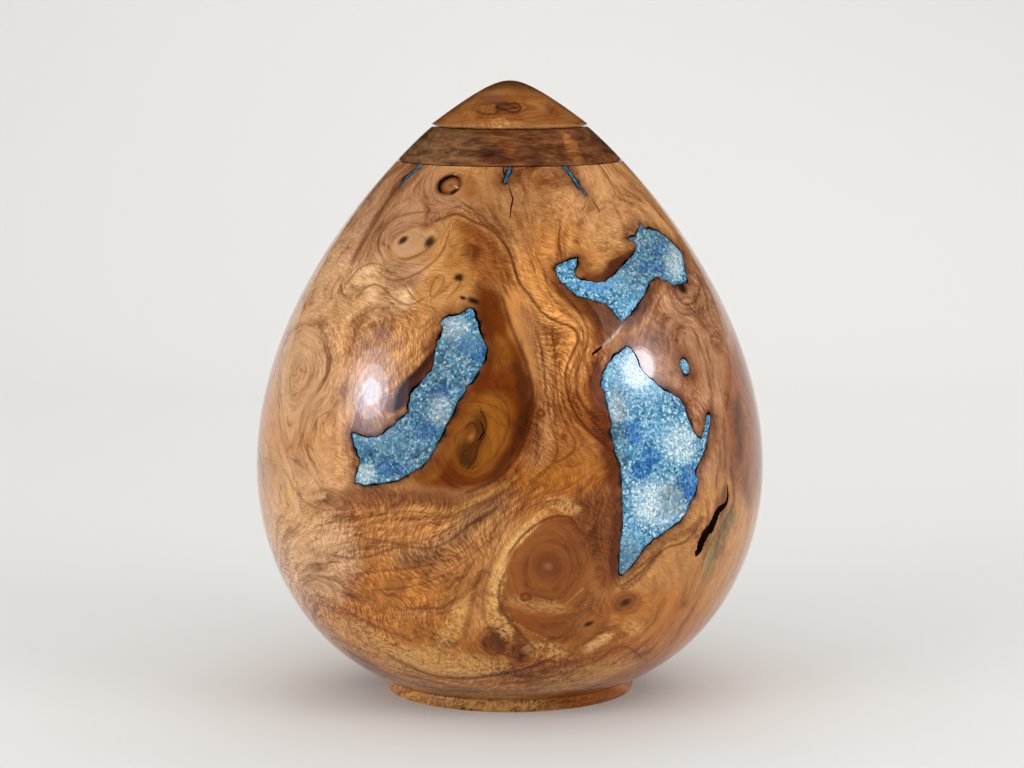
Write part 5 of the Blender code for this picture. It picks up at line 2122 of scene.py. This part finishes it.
# %% Lay the chips
stone_patches = {
    "deep": [((635, 433), (10, 11)), ((641, 470), (9, 9)), ((651, 456), (9, 9)), ((690, 484), (8, 20)),
        ((657, 250), (6, 9)), ((596, 287), (14, 5)), ((652, 268), (14, 6)), ((478, 352), (9, 9)),
        ((440, 392), (12, 7)), ((465, 345), (8, 10)), ((425, 430), (14, 9)), ((392, 468), (16, 8))],
    "white": [((656, 503), (24, 22)), ((680, 444), (16, 18)), ((617, 408), (8, 14)), ((674, 262),
        (8, 18)), ((366, 474), (10, 10)), ((455, 328), (14, 12)), ((440, 410), (10, 16))],
    "calm": [((648, 392), (18, 14)), ((618, 372), (14, 16)), ((660, 430), (14, 10)), ((604, 282),
        (26, 10)), ((632, 300), (14, 14)), ((630, 545), (12, 24)), ((385, 440), (18, 14)), ((470, 345),
        (10, 10))],
    "grey": [((420, 400), (86, 110)), ((618, 440), (9, 60)), ((640, 250), (40, 40)), ((628, 560),
        (14, 22)), ((672, 500), (14, 16))],
    "teal": [((405, 182), (28, 30)), ((506, 180), (14, 26)), ((582, 188), (34, 34))],
}


def patch_share(pixels, patches):
    """How much each pixel lies in any of the patches."""
    share = np.zeros(len(pixels))
    for centre, radii in patches:
        share = np.maximum(share, dab_mask(pixels, centre, radii, 0, 0.8))
    return share


def dress_stone(name, piece):
    """Mark the polished face, store the zones, and scatter the chips."""
    mesh = piece.data
    whole = skin_faces(mesh, tolerance=0.0001)[-1]
    layer = mesh.attributes.new("polished", "BOOLEAN", "FACE")
    layer.data.foreach_set("value", whole)
    spacing = small_spacing if is_small(name) else chip_spacing
    run_tree(piece, scatter, Spacing=spacing, Chip_Radius=spacing * radius_share,
             Edge_Margin=spacing * margin_share, Seed=chip_seed, Chip_Finish=chips)
    places = vertex_array(piece.data)
    pixels = to_pixels(places)
    for zone, spots in stone_patches.items():
        attribute(piece.data, zone, patch_share(pixels, spots))
    attribute(piece.data, "polished_slope", skin_normal(places), "FLOAT_VECTOR")
    print(name, "polished faces", int(whole.sum()), "triangles", count_triangles(piece))


for name, piece in stone_pieces.items():
    dress_stone(name, piece)

# %% Finish the stone
stone_ramp = [(0.0, (12, 24, 30)), (0.12, (22, 62, 88)), (0.3, (48, 114, 156)), (0.55, (92, 150, 182)),
    (0.78, (140, 184, 202)), (0.92, (180, 206, 212)), (1.0, (212, 224, 224))]
zone_colours = {
    "deep": (30, 98, 180),
    "white": (214, 228, 230),
    "calm": (124, 180, 212),
    "grey": (62, 66, 58),
    "teal": (34, 84, 104),
}
zone_strengths = {"deep": 0.5, "white": 0.32, "calm": 0.36, "grey": 0.38, "teal": 0.8}


def stone_finish(material, use_tint):
    """Broken blue stone, from navy to white, under a flat polished coat."""
    tree = finish_tree(material)
    where = object_place(tree)
    cells = put(tree, "ShaderNodeTexVoronoi", where, 1700.0)
    speck = put(tree, "ShaderNodeSeparateColor", cells.outputs["Color"]).outputs[0]
    cloud = span(tree, noise_3d(tree, where, 120.0, 3.0, 0.6), 0.3, 0.7)
    if use_tint:
        level = weighted(tree, (number(tree, "chip_tint"), 0.74), (speck, 0.2), (cloud, 0.2))
    else:
        level = weighted(tree, (speck, 0.62), (cloud, 0.2))
    lighter = weighted(tree, (number(tree, "white"), 0.2), (number(tree, "deep"), -0.1))
    level = calc(tree, "ADD", level, lighter)
    colour = colour_ramp(tree, level, [(position, linear(tint)) for position, tint in stone_ramp])
    broken = swing(tree, noise_3d(tree, where, 520.0, 3.0, 0.7), 4.4)
    broken = calc(tree, "ADD", calc(tree, "ADD", broken, times(tree, speck, 0.9)), 0.5)
    broken = calc(tree, "MAXIMUM", broken, 0.0)
    for zone, zone_colour in zone_colours.items():
        share = times(tree, times(tree, number(tree, zone), broken), zone_strengths[zone])
        colour = mixed(tree, share, colour, linear(zone_colour))
    rust = noise_3d(tree, where, 800.0, 1.0, 0.5, 0.0)
    colour = mixed(tree, span(tree, rust, 0.64, 0.72, 0.0, 0.6), colour, (0.05, 0.045, 0.035))
    shader = lacquer(tree, colour, 0.5, 0.08)
    slope = read(tree, "polished_slope").outputs["Vector"]
    turned_slope = put(tree, "ShaderNodeVectorTransform", slope, vector_type="NORMAL",
                       convert_from="OBJECT", convert_to="WORLD")
    tree.links.new(turned_slope.outputs[0], shader.inputs["Coat Normal"])


stone_finish(resin, False)
stone_finish(chips, True)
print("stone finished")

# %% [markdown]
# Last, every piece is tied to the frame: it rides on the one body and stands in for its node.

# %% Hand the pieces to the frame
stand_ins = {
    "vessel": (vessel, "burl"), "collar": (collar, "walnut"), "lid": (lid, "lid_burl"),
    **{name: (piece, "stone_chips") for name, piece in stone_pieces.items()},
}
for node_name, (piece, slot) in stand_ins.items():
    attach(piece, "root")
    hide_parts(node_name)
    print(piece.name, "stands for", node_name, "with", count_triangles(piece), "triangles")
